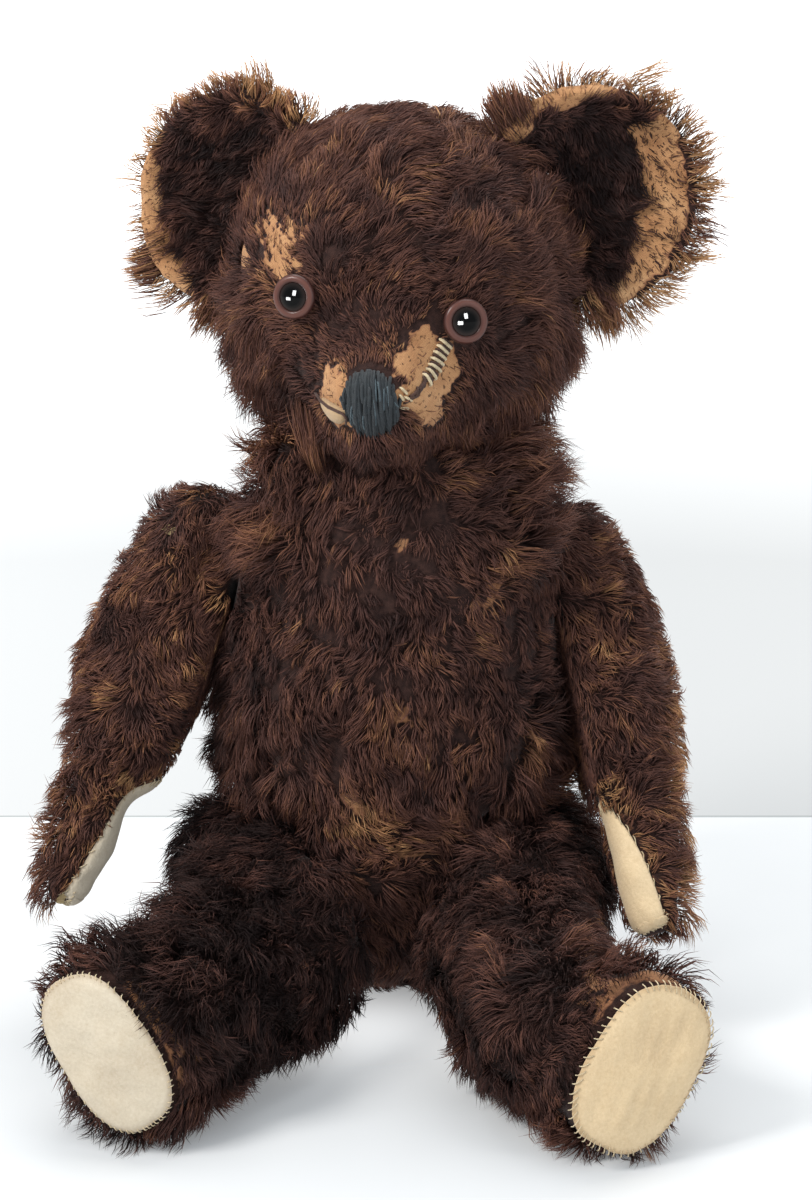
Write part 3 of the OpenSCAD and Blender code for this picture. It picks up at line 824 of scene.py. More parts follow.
def hairs(name, body, A, B, C, D, tn, width, r, most=16000, mat=None, by=None):
    made = []
    n = len(A)
    parts = max(1, math.ceil(n / most))
    order = np.argsort((D[:, 2] + 0.35 * D[:, 1]) if by is None else by, kind="stable")
    F = np.array([[0, 2, 1], [0, 3, 2], [0, 1, 3], [1, 2, 5], [1, 5, 4], [2, 3, 6], [2, 6, 5], [3, 1, 4], [3, 4, 6], [4, 5, 7], [5, 6, 7], [6, 4, 7]])
    for i in range(parts):
        idx = order[i * n // parts:(i + 1) * n // parts]
        a, b, c, e, tt = A[idx], B[idx], C[idx], D[idx], tn[idx]
        m = len(idx)
        ax, ax2 = unit(c - a), unit(e - b)
        u = unit(np.cross(ax, unit(r.normal(size=(m, 3)))))
        v = np.cross(ax, u)
        u2 = unit(u - (u * ax2).sum(1)[:, None] * ax2)
        v2 = np.cross(ax2, u2)
        w = width * np.clip(1 + r.normal(0, 0.2, m), 0.5, 1.6)
        co = np.zeros((m, 8, 3))
        co[:, 0] = a
        for k in range(3):
            an = 2 * math.pi * k / 3
            co[:, 1 + k] = b + (math.cos(an) * u + math.sin(an) * v) * w[:, None]
            co[:, 4 + k] = c + (math.cos(an) * u2 + math.sin(an) * v2) * (w * 0.8)[:, None]
        co[:, 7] = e
        base = (np.arange(m) * 8)[:, None]
        faces = (base[:, :, None] + F[None]).reshape(-1, 3)
        me = bpy.data.meshes.new(f"{name}_{i + 1:02d}")
        me.vertices.add(m * 8)
        me.vertices.foreach_set("co", (co / 1000).astype(np.float32).ravel())
        me.loops.add(len(faces) * 3)
        me.loops.foreach_set("vertex_index", faces.astype(np.int32).ravel())
        me.polygons.add(len(faces))
        me.polygons.foreach_set("loop_start", np.arange(0, len(faces) * 3, 3, dtype=np.int32))
        me.update(calc_edges=True)
        me.polygons.foreach_set("use_smooth", np.ones(len(faces), bool))
        uvl = me.uv_layers.new(name=UV)
        vv = np.array([0.03, 0.33, 0.33, 0.33, 0.66, 0.66, 0.66, 0.97])
        du = np.array([0.0, -0.003, 0.0, 0.003, -0.003, 0.0, 0.003, 0.0])
        uvv = np.zeros((m, 8, 2))
        uvv[:, :, 0] = tt[:, None] + du
        uvv[:, :, 1] = vv
        uvv = uvv.reshape(-1, 2)[faces.ravel()]
        uvl.data.foreach_set("uv", uvv.astype(np.float32).ravel())
        ob = bpy.data.objects.new(me.name, me)
        scene.collection.objects.link(ob)
        dress(ob, mat or FUR, body, "mohair")
        made.append(ob)
    return made


def keep_beyond(joint_plane, sink):
    p, n = joint_plane

    def f(Q):
        d = (Q - p) @ n
        low = d < -sink
        Q = Q.copy()
        Q[low] += n * (-sink - d[low])[:, None]
        return Q
    return f


def torso_keep(Q):
    Q = Q.copy()
    for limb, sink in (("left_arm", 2.2), ("right_arm", 2.2), ("left_leg", 2.2), ("right_leg", 2.2), ("head", 6.0)):
        p, n = PLANES[limb]
        j = jpos(JOINT_OF[limb])
        d = (Q - (j - n * 0.6)) @ n
        rad = np.linalg.norm((Q - j) - ((Q - j) @ n)[:, None] * n, axis=1)
        lim = {"left_arm": 34, "right_arm": 34, "head": 46}.get(limb, 40)
        over = (d > sink) & (rad < lim)
        Q[over] -= n * (d[over] - sink)[:, None]
    return Q


# ---- torso
def torso_density(P, N):
    w = np.ones(len(P))
    for limb in PLANES:
        p, n = PLANES[limb]
        j = jpos(JOINT_OF[limb])
        q = P - j
        d = -(q @ n)
        rad = np.linalg.norm(q - (q @ n)[:, None] * n, axis=1)
        flat = (d < 4) & (rad < (30 if limb == "head" else 24)) & (N @ n > 0.8)
        w[flat] = 0
    w *= 1 - 0.74 * bald_mask(P, N, "torso")
    w[(P[:, 2] < 2.0) & (N[:, 2] < -0.8)] = 0.15
    return w


def torso_corner(P):
    """1 where the neck slopes into the shoulders, where the pile is long and shaggy."""
    return smooth(P[:, 2], 160, 182) * smooth(np.abs(P[:, 0]), 24, 42)


def torso_flank(P, N):
    """1 on the sides of the belly, below the arms, where the pile sticks out."""
    return smooth(np.abs(N[:, 0]), 0.40, 0.80) * smooth(P[:, 2], 45, 75) * smooth(-P[:, 2], -140, -115)


def torso_lift(P, N):
    return 0.36 + 0.42 * torso_corner(P) + 0.28 * torso_flank(P, N)


def torso_flow(P, N):
    d = np.zeros((len(P), 3))
    d[:, 2] = -1
    d[:, 0] = 0.62 + P[:, 0] * 0.006
    d[:, 1] = -0.25
    c = torso_corner(P)
    d[:, 2] += 1.15 * c                                          # the neck corners stand out sideways
    d[:, 0] += np.sign(P[:, 0]) * 1.3 * c
    return d


def torso_tone(P, N, C):
    t = 0.475 + 0.06 * noise(P, 30, 301)
    rub = np.exp(-(((P[:, 0] - 34) / 11) ** 2 + ((P[:, 2] - 160) / 14) ** 2)) + 0.8 * np.exp(-(((P[:, 0] - 2) / 8) ** 2 + ((P[:, 2] - 122) / 8) ** 2)) + 0.6 * np.exp(-(((P[:, 0] - 62) / 9) ** 2 + ((P[:, 2] - 160) / 16) ** 2))
    rub = rub + 0.8 * np.exp(-(((P[:, 0] + 14) / 11) ** 2 + ((P[:, 2] - 88) / 7) ** 2)) + 0.8 * np.exp(-(((P[:, 0] - 5) / 9) ** 2 + ((P[:, 2] - 68) / 9) ** 2))
    rub *= (N[:, 1] < 0)
    t -= 0.10 * smooth(-P[:, 2], -48, -20)                       # painted shade: darker between the legs
    t -= 0.13 * smooth(np.abs(P[:, 0] - 2), 36, 52) * smooth(P[:, 2], 84, 110) * (1 - smooth(P[:, 2], 166, 182))   # and painted shade beside the arms
    t += 0.06 * smooth(P[:, 2], 178, 196) * smooth(np.abs(P[:, 0]), 26, 42)
    return t + 0.20 * rub * (0.5 + 0.5 * noise(P, 5, 302))


def torso_length(P, N):
    L = np.full(len(P), 8.6)
    L += 11.0 * torso_corner(P) * np.where(P[:, 0] > 0, 1.0, 0.9)
    L += 7.0 * torso_flank(P, N)
    L += 5.0 * np.exp(-(((P[:, 0] - 60) / 16) ** 2 + ((P[:, 2] - 80) / 14) ** 2))
    L -= 2.2 * np.exp(-(((P[:, 0] - 22) / 30) ** 2 + ((P[:, 2] - 150) / 34) ** 2)) * (N[:, 1] < 0)
    return L


# ---- head
def face_coords(P):
    q = P - HEAD_C
    return q @ HEAD_SIDE, -(q @ HEAD_FWD), q @ NECK_AX


def head_density(P, N):
    w = 1 - 0.975 * bald_mask(P, N, "head")
    for s in EYE:
        w *= smooth(np.linalg.norm(P - EYE[s], axis=1), 4.6, 6.4)
    q = P - NOSE
    e = (np.abs(q[:, 0] / 9.0) ** 2.5 + np.abs(q[:, 2] / 10.6) ** 2.5) ** 0.4
    w[(e < 1) & (q[:, 1] < 14)] = 0
    p, n = PLANES["head"]
    q = P - NECK
    d = q @ n
    rad = np.linalg.norm(q - d[:, None] * n, axis=1)
    w[(d < 4) & (rad < 30) & (N @ n < -0.8)] = 0
    return w


def head_flow(P, N):
    q = P - (NOSE + np.array([0, -6, 6.0]))
    d = unit(q)
    brow = smooth(q[:, 2], 18, 45)
    d = d * (1 - 0.75 * brow)[:, None] + brow[:, None] * np.array([0.85, 0.1, 0.60])   # swept up and across the brow
    cheek = smooth(np.abs(q[:, 0]), 16, 40) * smooth(-q[:, 2], -22, 6)
    d = d + cheek[:, None] * np.array([0, 0.1, -1.15])            # cheeks hang down
    chin = smooth(-q[:, 2], 6, 20)
    return d + chin[:, None] * np.array([0.0, 0.0, -0.8]) + np.array([0, 0.25, -0.10])


def head_length(P, N):
    q = P - NOSE
    dn = np.linalg.norm(q, axis=1)
    L = 3.2 + 4.8 * smooth(dn, 12, 60)
    for s in EYE:
        L *= 0.75 + 0.25 * smooth(np.linalg.norm(P - EYE[s], axis=1), 8, 20)
    k = np.nonzero((q[:, 0] > -60) & (q[:, 0] < 45) & (q[:, 2] > -25) & (q[:, 2] < 68) & (N[:, 1] < 0))[0]
    d = np.full(len(k), 99.0)
    for line in FACE_BARE + [BROW_BARE]:
        d = np.minimum(d, outline_distance(q[k, 0], q[k, 2], line))
    L[k] *= 0.50 + 0.50 * smooth(d, 1.0, 7.0)
    low = smooth(-(P - NECK) @ NECK_AX, -40, -6)
    side_ = smooth(np.abs((P - HEAD_C) @ HEAD_SIDE), 34, 56) * smooth(-(P - NECK) @ NECK_AX, -75, -35)
    for s in EYE:
        near = 1 - smooth(np.linalg.norm(P - centre(f"{s}_ear_back"), axis=1), 36, 47)
        L += 5.0 * near * smooth((P - NECK) @ NECK_AX, 55, 75)
    return L + 3.4 * low + 7.0 * side_ + 2.2 * smooth((P - NECK) @ NECK_AX, 88, 106)


def head_lift(P, N):
    h = (P - NECK) @ NECK_AX
    side_ = smooth(np.abs((P - HEAD_C) @ HEAD_SIDE), 34, 56) * smooth(-h, -75, -35)
    return 0.27 + 0.26 * side_


def head_tone(P, N, C):
    t = 0.46 + 0.05 * noise(P, 24, 401)
    h = (P - NECK) @ NECK_AX
    dn = np.linalg.norm(P - NOSE, axis=1)
    t += 0.05 * (1 - smooth(dn, 12, 34))
    # painted light: lighter towards the top of the head
    t += 0.04 * smooth(h, 60, 100)
    # painted shade: darker below the nose, on the chin
    t -= 0.10 * smooth(-(P[:, 2] - NOSE[2]), 8, 30)
    # painted light: lighter still on the crown
    t += 0.08 * smooth(h, 98, 112)
    for s in EYE:
        ec = centre(f"{s}_ear_back")
        t += 0.20 * (1 - smooth(np.linalg.norm(P - (ec + np.array([0, 0, -34.0])), axis=1), 12, 34))
    q = P - NOSE
    for line, wide in ((FACE_BARE[0], 5.0), (FACE_BARE[1], 3.0)):
        near = (np.abs(q[:, 0]) < 45) & (np.abs(q[:, 2]) < 40) & (N[:, 1] < 0)
        k = np.nonzero(near)[0]
        d = outline_distance(q[k, 0], q[k, 2], line)
        t[k] += 0.22 * (1 - smooth(d, 0.0, wide))
    k = np.nonzero((q[:, 0] < -12) & (q[:, 2] > 25) & (q[:, 2] < 70) & (N[:, 1] < 0))[0]
    t[k] += 0.24 * (1 - smooth(outline_distance(q[k, 0], q[k, 2], BROW_BARE), -1.0, 5.0))
    return t


# ---- limbs
def limb_density(side, kind):
    body = f"{side}_{kind}"
    p, n = PLANES[body]
    j = jpos(JOINT_OF[body])

    def f(P, N):
        w = np.ones(len(P))
        q = P - j
        d = q @ n
        rad = np.linalg.norm(q - d[:, None] * n, axis=1)
        w[(d < 3.5) & (rad < (20 if kind == "arm" else 26)) & (N @ n < -0.8)] = 0
        w *= 1 - PADMASK[body](P, N)
        w *= 1 - 0.60 * RUBBED[body](P, N)
        w[(P[:, 2] < 3.0) & (N[:, 2] < -0.75)] = 0.35
        return w
    return f


def limb_flow(side, kind):
    body = f"{side}_{kind}"
    j = jpos(JOINT_OF[body])
    end = PAW[side] if kind == "arm" else FOOT[side]
    axis = unit(end - j)

    def f(P, N):
        d = np.tile(axis, (len(P), 1)) + np.array([0, 0, -0.25])
        if kind == "leg":
            q = P - FOOT[side]
            near = 1 - smooth(np.abs(q @ FOOTN[side]), 14, 40)
            out = unit(q - (q @ FOOTN[side])[:, None] * FOOTN[side])
            d = d + near[:, None] * (out * 1.0 + FOOTN[side] * 0.25)
        else:
            side_ = 1.0 if side == "left" else -1.0
            d = d + np.array([0.35 * side_, 0, 0]) * smooth((P - j) @ axis, -30, 30)[:, None]
        return d
    return f


def pad_frame(node):
    """Centre, long axis, short axis and normal of a flat pad, from its own points."""
    c, t = node_arrays(node)
    m = c.mean(0)
    u, s, vt = np.linalg.svd(c - m, full_matrices=False)
    return m, vt[0], vt[1], vt[2], c


FOOTN, FOOTF = {}, {}
for s in ("left", "right"):
    m, a, b, n, c = pad_frame(f"{s}_foot_pad")
    if n[1] > 0:
        n = -n
    if a[2] < 0:
        a = -a
    b = np.cross(n, a)
    mid = (c @ n).min() * n + (m - (m @ n) * n)
    ra, rb = (np.abs((c - m) @ a)).max(), (np.abs((c - m) @ b)).max()
    FOOTN[s] = n
    # the pile rolls over the edge of the sole, most on the right foot
    ka, kb = (0.945, 0.84) if s == "right" else (0.975, 0.955)
    FOOTF[s] = (mid, a, b, n, ra * ka, rb * kb)
PAWF = {}
for s in ("left", "right"):
    m, a, b, n, c = pad_frame(f"{s}_paw_pad")
    lo, no = on_cloth(f"{s}_arm", m[None], 0.0)
    n = no[0]
    a = unit(a - (a @ n) * n)
    if a[2] < 0:
        a = -a
    b = np.cross(n, a)
    ra, rb = (np.abs((c - m) @ a)).max(), (np.abs((c - m) @ b)).max()
    base = lo[0]
    turn = 0.62 if s == "right" else -0.32
    if b[0] < 0:
        turn = -turn
    n2, b2 = n * math.cos(turn) + b * math.sin(turn), b * math.cos(turn) - n * math.sin(turn)
    base, n, b = base - n * 13.0 + n2 * 13.0, n2, b2
    if s == "right":
        PAWF[s] = (base + a * 2.0, a, b, n, ra * 1.16, rb)
    else:
        PAWF[s] = (base - a * 1.5, a, b, n, ra * 1.06, rb * 0.80)
LIMB_R = 13.0        # radius of the forearm that a paw pad wraps round


def pad_shape(kind, s):
    return FOOTF[s] if kind == "leg" else PAWF[s]


def pad_uv(kind, s, P):
    """Pad coordinates along and across, in mm, and the direction that faces out of the pad at each point."""
    m, a, b, n, ra, rb = pad_shape(kind, s)
    q = P - m
    if kind == "leg":
        return q @ a, q @ b, np.tile(n, (len(P), 1)), q @ n
    w = q + n * LIMB_R
    wb, wn = w @ b, w @ n
    phi = np.arctan2(wb, wn)
    out = np.cos(phi)[:, None] * n + np.sin(phi)[:, None] * b
    return q @ a, LIMB_R * phi, out, np.hypot(wb, wn) - LIMB_R


def pad_radius(kind, s, u, v):
    m, a, b, n, ra, rb = pad_shape(kind, s)
    e = 2.6 if kind == "leg" else 2.3
    return (np.abs(u / ra) ** e + np.abs(v / rb) ** e) ** (1 / e)


def pad_mask(kind, s):
    def f(P, N):
        u, v, out, h = pad_uv(kind, s, P)
        r = pad_radius(kind, s, u, v)
        return ((r < 0.975) & (h > -12) & ((N * out).sum(1) > 0.15)).astype(float)
    return f


PADMASK = {f"{s}_{k}": pad_mask(k, s) for s in ("left", "right") for k in ("arm", "leg")}


def rubbed(kind, s):
    """Thin, rubbed pile beside the pads: 0..1."""
    def f(P, N):
        u, v, out, h = pad_uv(kind, s, P)
        m, a, b, n, ra, rb = pad_shape(kind, s)
        r = pad_radius(kind, s, u, v)
        th = np.degrees(np.arctan2(v / rb, u / ra))
        rag = 0.10 * noise(P, 6, 91) + 0.05 * noise(P, 2.5, 92)
        ring = smooth(r, 0.9, 1.0) * (1 - smooth(r + rag * 0.6, 1.06, 1.16)) * ((N * out).sum(1) > -0.6)
        world = a * np.cos(np.radians(th))[:, None] + b * np.sin(np.radians(th))[:, None]
        if kind == "leg":
            zone = smooth(world[:, 2], 0.35, 0.95) if s == "left" else smooth(world[:, 0] + 0.5 * world[:, 2], 0.55, 1.1)
            return np.clip(ring * zone, 0, 1) * 0.9
        return np.clip(ring * (0.55 if s == "left" else 0.35), 0, 1)
    return f


RUBBED = {f"{s}_{k}": rubbed(k, s) for s in ("left", "right") for k in ("arm", "leg")}


def limb_tone(side, kind, seed, base, rim):
    body = f"{side}_{kind}"
    j = jpos(JOINT_OF[body])
    end = PAW[side] if kind == "arm" else FOOT[side]
    axis = unit(end - j)

    def f(P, N, C):
        t = base + 0.06 * noise(P, 26, seed) + 0.14 * np.maximum(0, noise(P, 9, seed + 3) - 0.75)
        u, v, out, h = pad_uv(kind, side, P)
        r = pad_radius(kind, side, u, v)
        t = t + 0.20 * (1 - smooth(r, 1.0, 1.35)) * ((N * out).sum(1) > -0.3)
        if kind == "arm":
            far = smooth((P - j) @ axis, 70, 120)
            sgn = 1.0 if side == "left" else -1.0
            # painted light: the rim term lightens each arm's outer side as a backlit edge
            t = t + rim * smooth(N[:, 0] * sgn, 0.55, 0.95) + 0.10 * far
        return t
    return f


def limb_lift(side, kind):
    sgn = 1.0 if side == "left" else -1.0

    def f(P, N):
        if kind == "arm":
            out = smooth(N[:, 0] * sgn, 0.35, 0.85)
            return 0.38 + (0.26 if side == "right" else 0.12) * out
        return 0.42 + 0.20 * smooth(-N[:, 2], 0.1, 0.6) + 0.20 * smooth(N[:, 2], 0.4, 0.9)
    return f


def limb_length(side, kind):
    j = jpos(f"{side}_shoulder_swing" if kind == "arm" else f"{side}_hip_swing")
    sgn = 1.0 if side == "left" else -1.0

    def f(P, N):
        u, v, out, h = pad_uv(kind, side, P)
        r = pad_radius(kind, side, u, v)
        near = (1 - smooth(r, 1.0, 1.5)) * ((N * out).sum(1) > 0.1)
        if kind == "arm":
            L = np.full(len(P), 8.4 if side == "left" else 7.8)
            L += (4.8 if side == "right" else 1.2) * smooth(N[:, 0] * sgn, 0.35, 0.85) * smooth(-(P[:, 2] - j[2]), 20, 60)
            L += (-2.2 if side == "right" else 2.0) * smooth(-N[:, 0] * sgn, 0.3, 0.8) * smooth(-(P[:, 2] - j[2]), 25, 60)
            L += (4.6 if side == "left" else 2.6) * smooth(np.abs(u), 22, 30) * (u < 0)
            if side == "left":
                L += 4.5 * smooth(N[:, 0], 0.2, 0.8) * smooth(-(P[:, 2] - j[2]), 62, 100)
            L += 4.0 * smooth(P[:, 2] - j[2], 4, 20) * smooth(-sgn * (P[:, 0] - j[0]), -26, -6)   # over the shoulder
            L -= 1.2 * (1 - smooth(np.hypot(u, np.minimum(np.abs(v), 30)), 24, 60))
        else:
            L = np.full(len(P), 9.0)
            L += 4.0 * smooth(-N[:, 2], 0.1, 0.6) * smooth(-P[:, 1], 30, 70)          # shaggy underside
            if side == "right":
                L += 7.0 * np.exp(-(((P[:, 0] + 76) / 18) ** 2 + ((P[:, 2] - 52) / 18) ** 2)) * (N[:, 2] > -0.3)
            L += (5.5 if side == "right" else 4.6) * smooth(N[:, 2], 0.4, 0.9) * smooth(-P[:, 1], 0, 40)
            L += 4.0 * smooth(N[:, 0] * sgn, 0.3, 0.9) * smooth(P[:, 1], -90, -30)
            L += 2.8 * (1 - smooth(np.abs(h), 8, 26)) * smooth(r, 1.0, 1.2)
            L += 2.0 * smooth(N[:, 2], 0.5, 0.9) * smooth(-P[:, 1], 90, 120)
        return L * (1 - 0.5 * near)
    return f


FURRY = []
FURRY += fur("torso_fur", "torso", BODY_CLOTH["torso"], 1.18, 100, torso_flow, torso_length, torso_lift, torso_tone, torso_density, swirl=(40, 38, 13, 26), clump=(2.3, 0.58, 7.5, 0.26), keep_in=torso_keep)
FURRY += fur("head_fur", "head", BODY_CLOTH["head"], 1.55, 200, head_flow, head_length, head_lift, head_tone, head_density, swirl=(30, 20, 11, 13), clump=(1.8, 0.36, 6.0, 0.2), width=0.175, keep_in=keep_beyond(PLANES["head"], 7.0), curl=0.15)
for i, s in enumerate(("left", "right")):
    FURRY += fur(f"{s}_arm_fur", f"{s}_arm", BODY_CLOTH[f"{s}_arm"], 1.18, 300 + i * 40, limb_flow(s, "arm"), limb_length(s, "arm"), limb_lift(s, "arm"), limb_tone(s, "arm", 311 + i, 0.47, 0.16 if s == "left" else 0.08), limb_density(s, "arm"), keep_in=keep_beyond(PLANES[f"{s}_arm"], 1.5))
    FURRY += fur(f"{s}_leg_fur", f"{s}_leg", BODY_CLOTH[f"{s}_leg"], 1.15, 400 + i * 40, limb_flow(s, "leg"), limb_length(s, "leg"), limb_lift(s, "leg"), limb_tone(s, "leg", 411 + i, 0.235 if s == "left" else 0.155, 0), limb_density(s, "leg"))

# cloth of the bodies: bare patches, then material
for body, ob in BODY_CLOTH.items():
    co, no = get_co(ob.data), get_normals(ob.data)
    set_attr(ob, "bald", np.maximum(bald_mask(co, no, body) * (0.72 if body == "torso" else 1), RUBBED[body](co, no) * 0.8 if body in RUBBED else 0))
    dress(ob, CLOTH, body, "mohair", f"{body}_skin")


# ------------------------------------------------------------------ ears
# outlines of rubbed cloth on the front of each ear: x and z in mm from the ear's centre
EAR_BARE = {
    "right": [[(-31.5, 19.0), (-36.0, 5.6), (-38.0, -3.4), (-38.0, -11.7), (-36.0, -18.1), (-30.0, -28.2), (-24.4, -38.8), (-18.2, -45.5), (-12.4, -52.2), (-4.3, -55.0), (-6.7, -46.4), (-10.8, -39.2), (-14.4, -33.9), (-16.8, -25.6), (-21.9, -20.2), (-24.7, -14.1), (-26.3, -8.6), (-26.4, -0.3), (-26.2, 8.2)]],
    "left": [[(-38.5, 14.0), (-41.0, 25.7), (-36.3, 33.1), (-29.6, 39.1), (-19.5, 43.1), (-9.0, 44.2), (0.5, 42.9), (9.9, 39.1), (7.0, 36.4), (0.1, 36.3), (-8.9, 35.0), (-15.7, 32.8), (-21.6, 31.2), (-25.6, 28.0), (-26.5, 22.9), (-29.5, 15.6)],
             [(24.2, 31.2), (28.0, 19.0), (31.1, 9.4), (32.4, 0.5), (31.6, -8.4), (28.9, -17.2), (23.5, -25.3), (15.1, -32.6), (6.0, -37.7), (1.3, -31.4), (11.2, -29.5), (13.8, -20.5), (14.5, -12.5), (16.5, -3.7), (17.7, 4.6), (16.0, 12.9), (12.5, 21.9)]],
}


def ear(side):
    ob = solid(f"{side}_ear_cloth", [f"{side}_ear_front", f"{side}_ear_back"], 1.9)
    co, ed = get_co(ob.data), get_edges(ob.data)
    co = relax(co, ed, 3, 0.5)
    set_co(ob.data, co)
    c = co.mean(0)
    u, s, vt = np.linalg.svd(co - c, full_matrices=False)
    n = vt[2]
    if n @ HEAD_FWD < 0:
        n = -n
    mid = centre(f"{side}_ear_back")
    out = unit((c - HEAD_C) - ((c - HEAD_C) @ n) * n)
    q = co - c
    rad = np.linalg.norm(q - (q @ n)[:, None] * n, axis=1)
    no = get_normals(ob.data)
    wob = noise(co, 30, 500 + len(side)) * 1.6 * smooth(rad, 12, 36)
    co = co + n * wob[:, None] - no * 0.7
    co = relax(co, ed, 2, 0.5)
    set_co(ob.data, co)
    subdivide(ob)
    BODY_CLOTH[f"{side}_ear"] = ob
    co, no = get_co(ob.data), get_normals(ob.data)
    R = np.percentile(np.linalg.norm((co - c) - ((co - c) @ n)[:, None] * n, axis=1), 99.5)
    across = np.cross(n, out)
    ang = np.arctan2((co - c) @ across, (co - c) @ out)
    dist = np.hypot((co - c) @ across, (co - c) @ out)
    bins = ((ang + math.pi) / (2 * math.pi) * 48).astype(int) % 48
    reach = np.array([dist[bins == k].max() if (bins == k).any() else R for k in range(48)])
    reach = 0.5 * reach + 0.25 * (np.roll(reach, 1) + np.roll(reach, -1))

    def coords(P):
        q = P - c
        h = q @ n
        t = q - h[:, None] * n
        u, v = t @ out, t @ across
        k = (np.arctan2(v, u) + math.pi) / (2 * math.pi) * 48 - 0.5
        k0 = np.floor(k).astype(int)
        rim = reach[k0 % 48] * (1 - (k - k0)) + reach[(k0 + 1) % 48] * (k - k0)
        return u, v, np.linalg.norm(t, axis=1) / rim, h

    def worn(P, N):
        front = smooth(N @ n, -0.35, 0.10)
        x, z = P[:, 0] - mid[0], P[:, 2] - mid[2]
        grow = 2.6 if side == "right" else 0.8
        rag = 0.8 * noise(P, 9, 520 + len(side)) + 0.35 * noise(P, 3, 521)
        v = np.zeros(len(P))
        for line in EAR_BARE[side]:
            v = np.maximum(v, 1 - smooth(outline_distance(x, z, line) + rag - grow, -1.2, 1.2))
        return v * front

    set_attr(ob, "bald", worn(co, no))
    dress(ob, CLOTH, "head", "mohair_worn", f"{side}_ear_front", f"{side}_ear_back")
    sgn = 1.0 if side == "left" else -1.0

    def density(P, N):
        b = worn(P, N)
        x = (P[:, 0] - mid[0]) * sgn
        thin = 0.80 if side == "left" else 0.93
        w = 1 - np.where((side == "left") & (x > 8), 0.74, thin) * b
        if side == "right":                                      # the outer rim is worn nearly bare
            u, v, rr, h = coords(P)
            w *= 1 - 0.55 * smooth(rr, 0.86, 0.96) * smooth(x, 10, 26)
        return w

    def flow(P, N):
        u, v, rr, h = coords(P)
        q = P - c
        t = unit(q - (q @ n)[:, None] * n)
        front = smooth(N @ n, -0.1, 0.4) * (1 - smooth(rr, 0.72, 0.92))
        d = t * (0.3 + 0.9 * rr)[:, None] + out * 0.6 + np.array([0, 0, 0.05])
        # inside the cup the pile lies down and outwards
        return d * (1 - front)[:, None] + front[:, None] * (np.array([0.5 * sgn, 0, -1.0]) + 0.5 * out)

    def length(P, N):
        u, v, rr, h = coords(P)
        front = smooth(N @ n, -0.1, 0.4)
        b = worn(P, N)
        L = 8.2 + (5.2 if side == "left" else 3.0) * smooth(rr, 0.80, 0.97) * (1 - 0.9 * front) - 0.8 * front * (1 - smooth(rr, 0.75, 0.95))
        L = L + 3.5 * smooth(-u, R * 0.55, R * 0.9)                    # reaches over to the head
        if side == "left":
            L = L + 2.0 * smooth(-P[:, 2] + mid[2], R * 0.5, R * 0.9)
        x = (P[:, 0] - mid[0]) * sgn
        if side == "left":
            L = L + 3.0 * smooth(x, 14, 30) * (1 - front)
        spike = np.maximum(0, noise(P, 11, 560 + len(side)) - 0.35) * (5.5 if side == "left" else 3.5) * smooth(rr, 0.82, 0.98) * (1 - front)
        return L * (1 - 0.55 * b) + spike

    def tone(P, N, C):
        u, v, rr, h = coords(P)
        front = smooth(N @ n, -0.1, 0.4)
        inner = front * (1 - smooth(rr, 0.30, 0.85))
        base = (0.36 if side == "right" else 0.27)
        # golden rim: partly the hairs' own golden tips, partly painted backlight glowing through the ear's edge
        gold_and_backlight = (0.74 if side == "left" else 0.68) * (1 + 0.20 * noise(P, 5, 541))
        t = base - 0.14 * inner + gold_and_backlight * smooth(rr, 0.76, 0.95) * (1 - 0.25 * front) + 0.06 * noise(P, 12, 540)
        t = t - 0.08 * smooth(-u, R * 0.1, R * 0.6)
        t = t + 0.10 * worn(P, N)
        return t
    FURRY.extend(fur(f"{side}_ear_fur", "head", ob, 1.5, 600 + len(side), flow, length, 0.36, tone, density, swirl=(26, 16, 9, 16), clump=(2.6, 0.60, 8.0, 0.2), width=0.185, floor=False, curl=0.2, droop=0.04))


for side in ("left", "right"):
    ear(side)


# a dark tuft of back fur that stands out behind the lower outer edge of the right ear, and the long lock on the cheek
def tuft(name, body, root, tip, spread, fan, count, seed, tone, width=0.19, bow=(0, 0, 0)):
    r = np.random.default_rng(seed)
    root, tip = np.asarray(root, float), np.asarray(tip, float)
    ax = unit(tip - root)
    L = np.linalg.norm(tip - root)
    off = r.normal(0, 1, (count, 3)) * np.asarray(spread)
    A = root + off
    reach = L * np.clip(r.normal(0.92, 0.13, count), 0.5, 1.15)
    D = root + ax * reach[:, None] + off * fan + r.normal(0, 0.5, (count, 3))
    w = np.asarray(bow, float)
    B = A + (D - A) * 0.34 + w * 0.8 + r.normal(0, 0.25, (count, 3))
    C = A + (D - A) * 0.68 + w + r.normal(0, 0.30, (count, 3))
    tn = np.clip(tone[0] + (tone[1] - tone[0]) * (reach / L) ** 2 + r.normal(0, 0.06, count), 0.02, 0.97)
    return hairs(name, body, A, B, C, D, tn, width, r)


def rim_locks(side, rows):
    """Long locks rooted on an ear's cloth: offsets x and z of the root from the ear's centre, then of the tip from the root."""
    out = []
    c = centre(f"{side}_ear_back")
    for i, (x, z, tx, tz, count, tone) in enumerate(rows):
        q, no = drop(f"{side}_ear", (c + np.array([x, -60.0, z]))[None], np.array([[0, 1.0, 0]]), -1.0)
        out += tuft(f"{side}_ear_lock_{i + 1}", "head", q[0], q[0] + np.array([tx, -0.5, tz]), (2.6, 1.0, 2.6), 1.0, count, 960 + 10 * i + len(side), tone, 0.18, bow=(0.12 * tx, -0.6, 0))
    return out


FURRY += rim_locks("left", [(-36, 20, -7, 11, 170, (0.26, 0.66)), (-31, 30, -6, 13, 200, (0.26, 0.66)), (-24, 36, -4, 12, 170, (0.30, 0.74)), (2, -34, 4, -14, 240, (0.40, 0.80))])
FURRY += rim_locks("right", [(8, 30, 4, 12, 200, (0.24, 0.60)), (16, 25, 7, 11, 200, (0.24, 0.60)), (-16, -36, -6, -9, 200, (0.36, 0.76))])


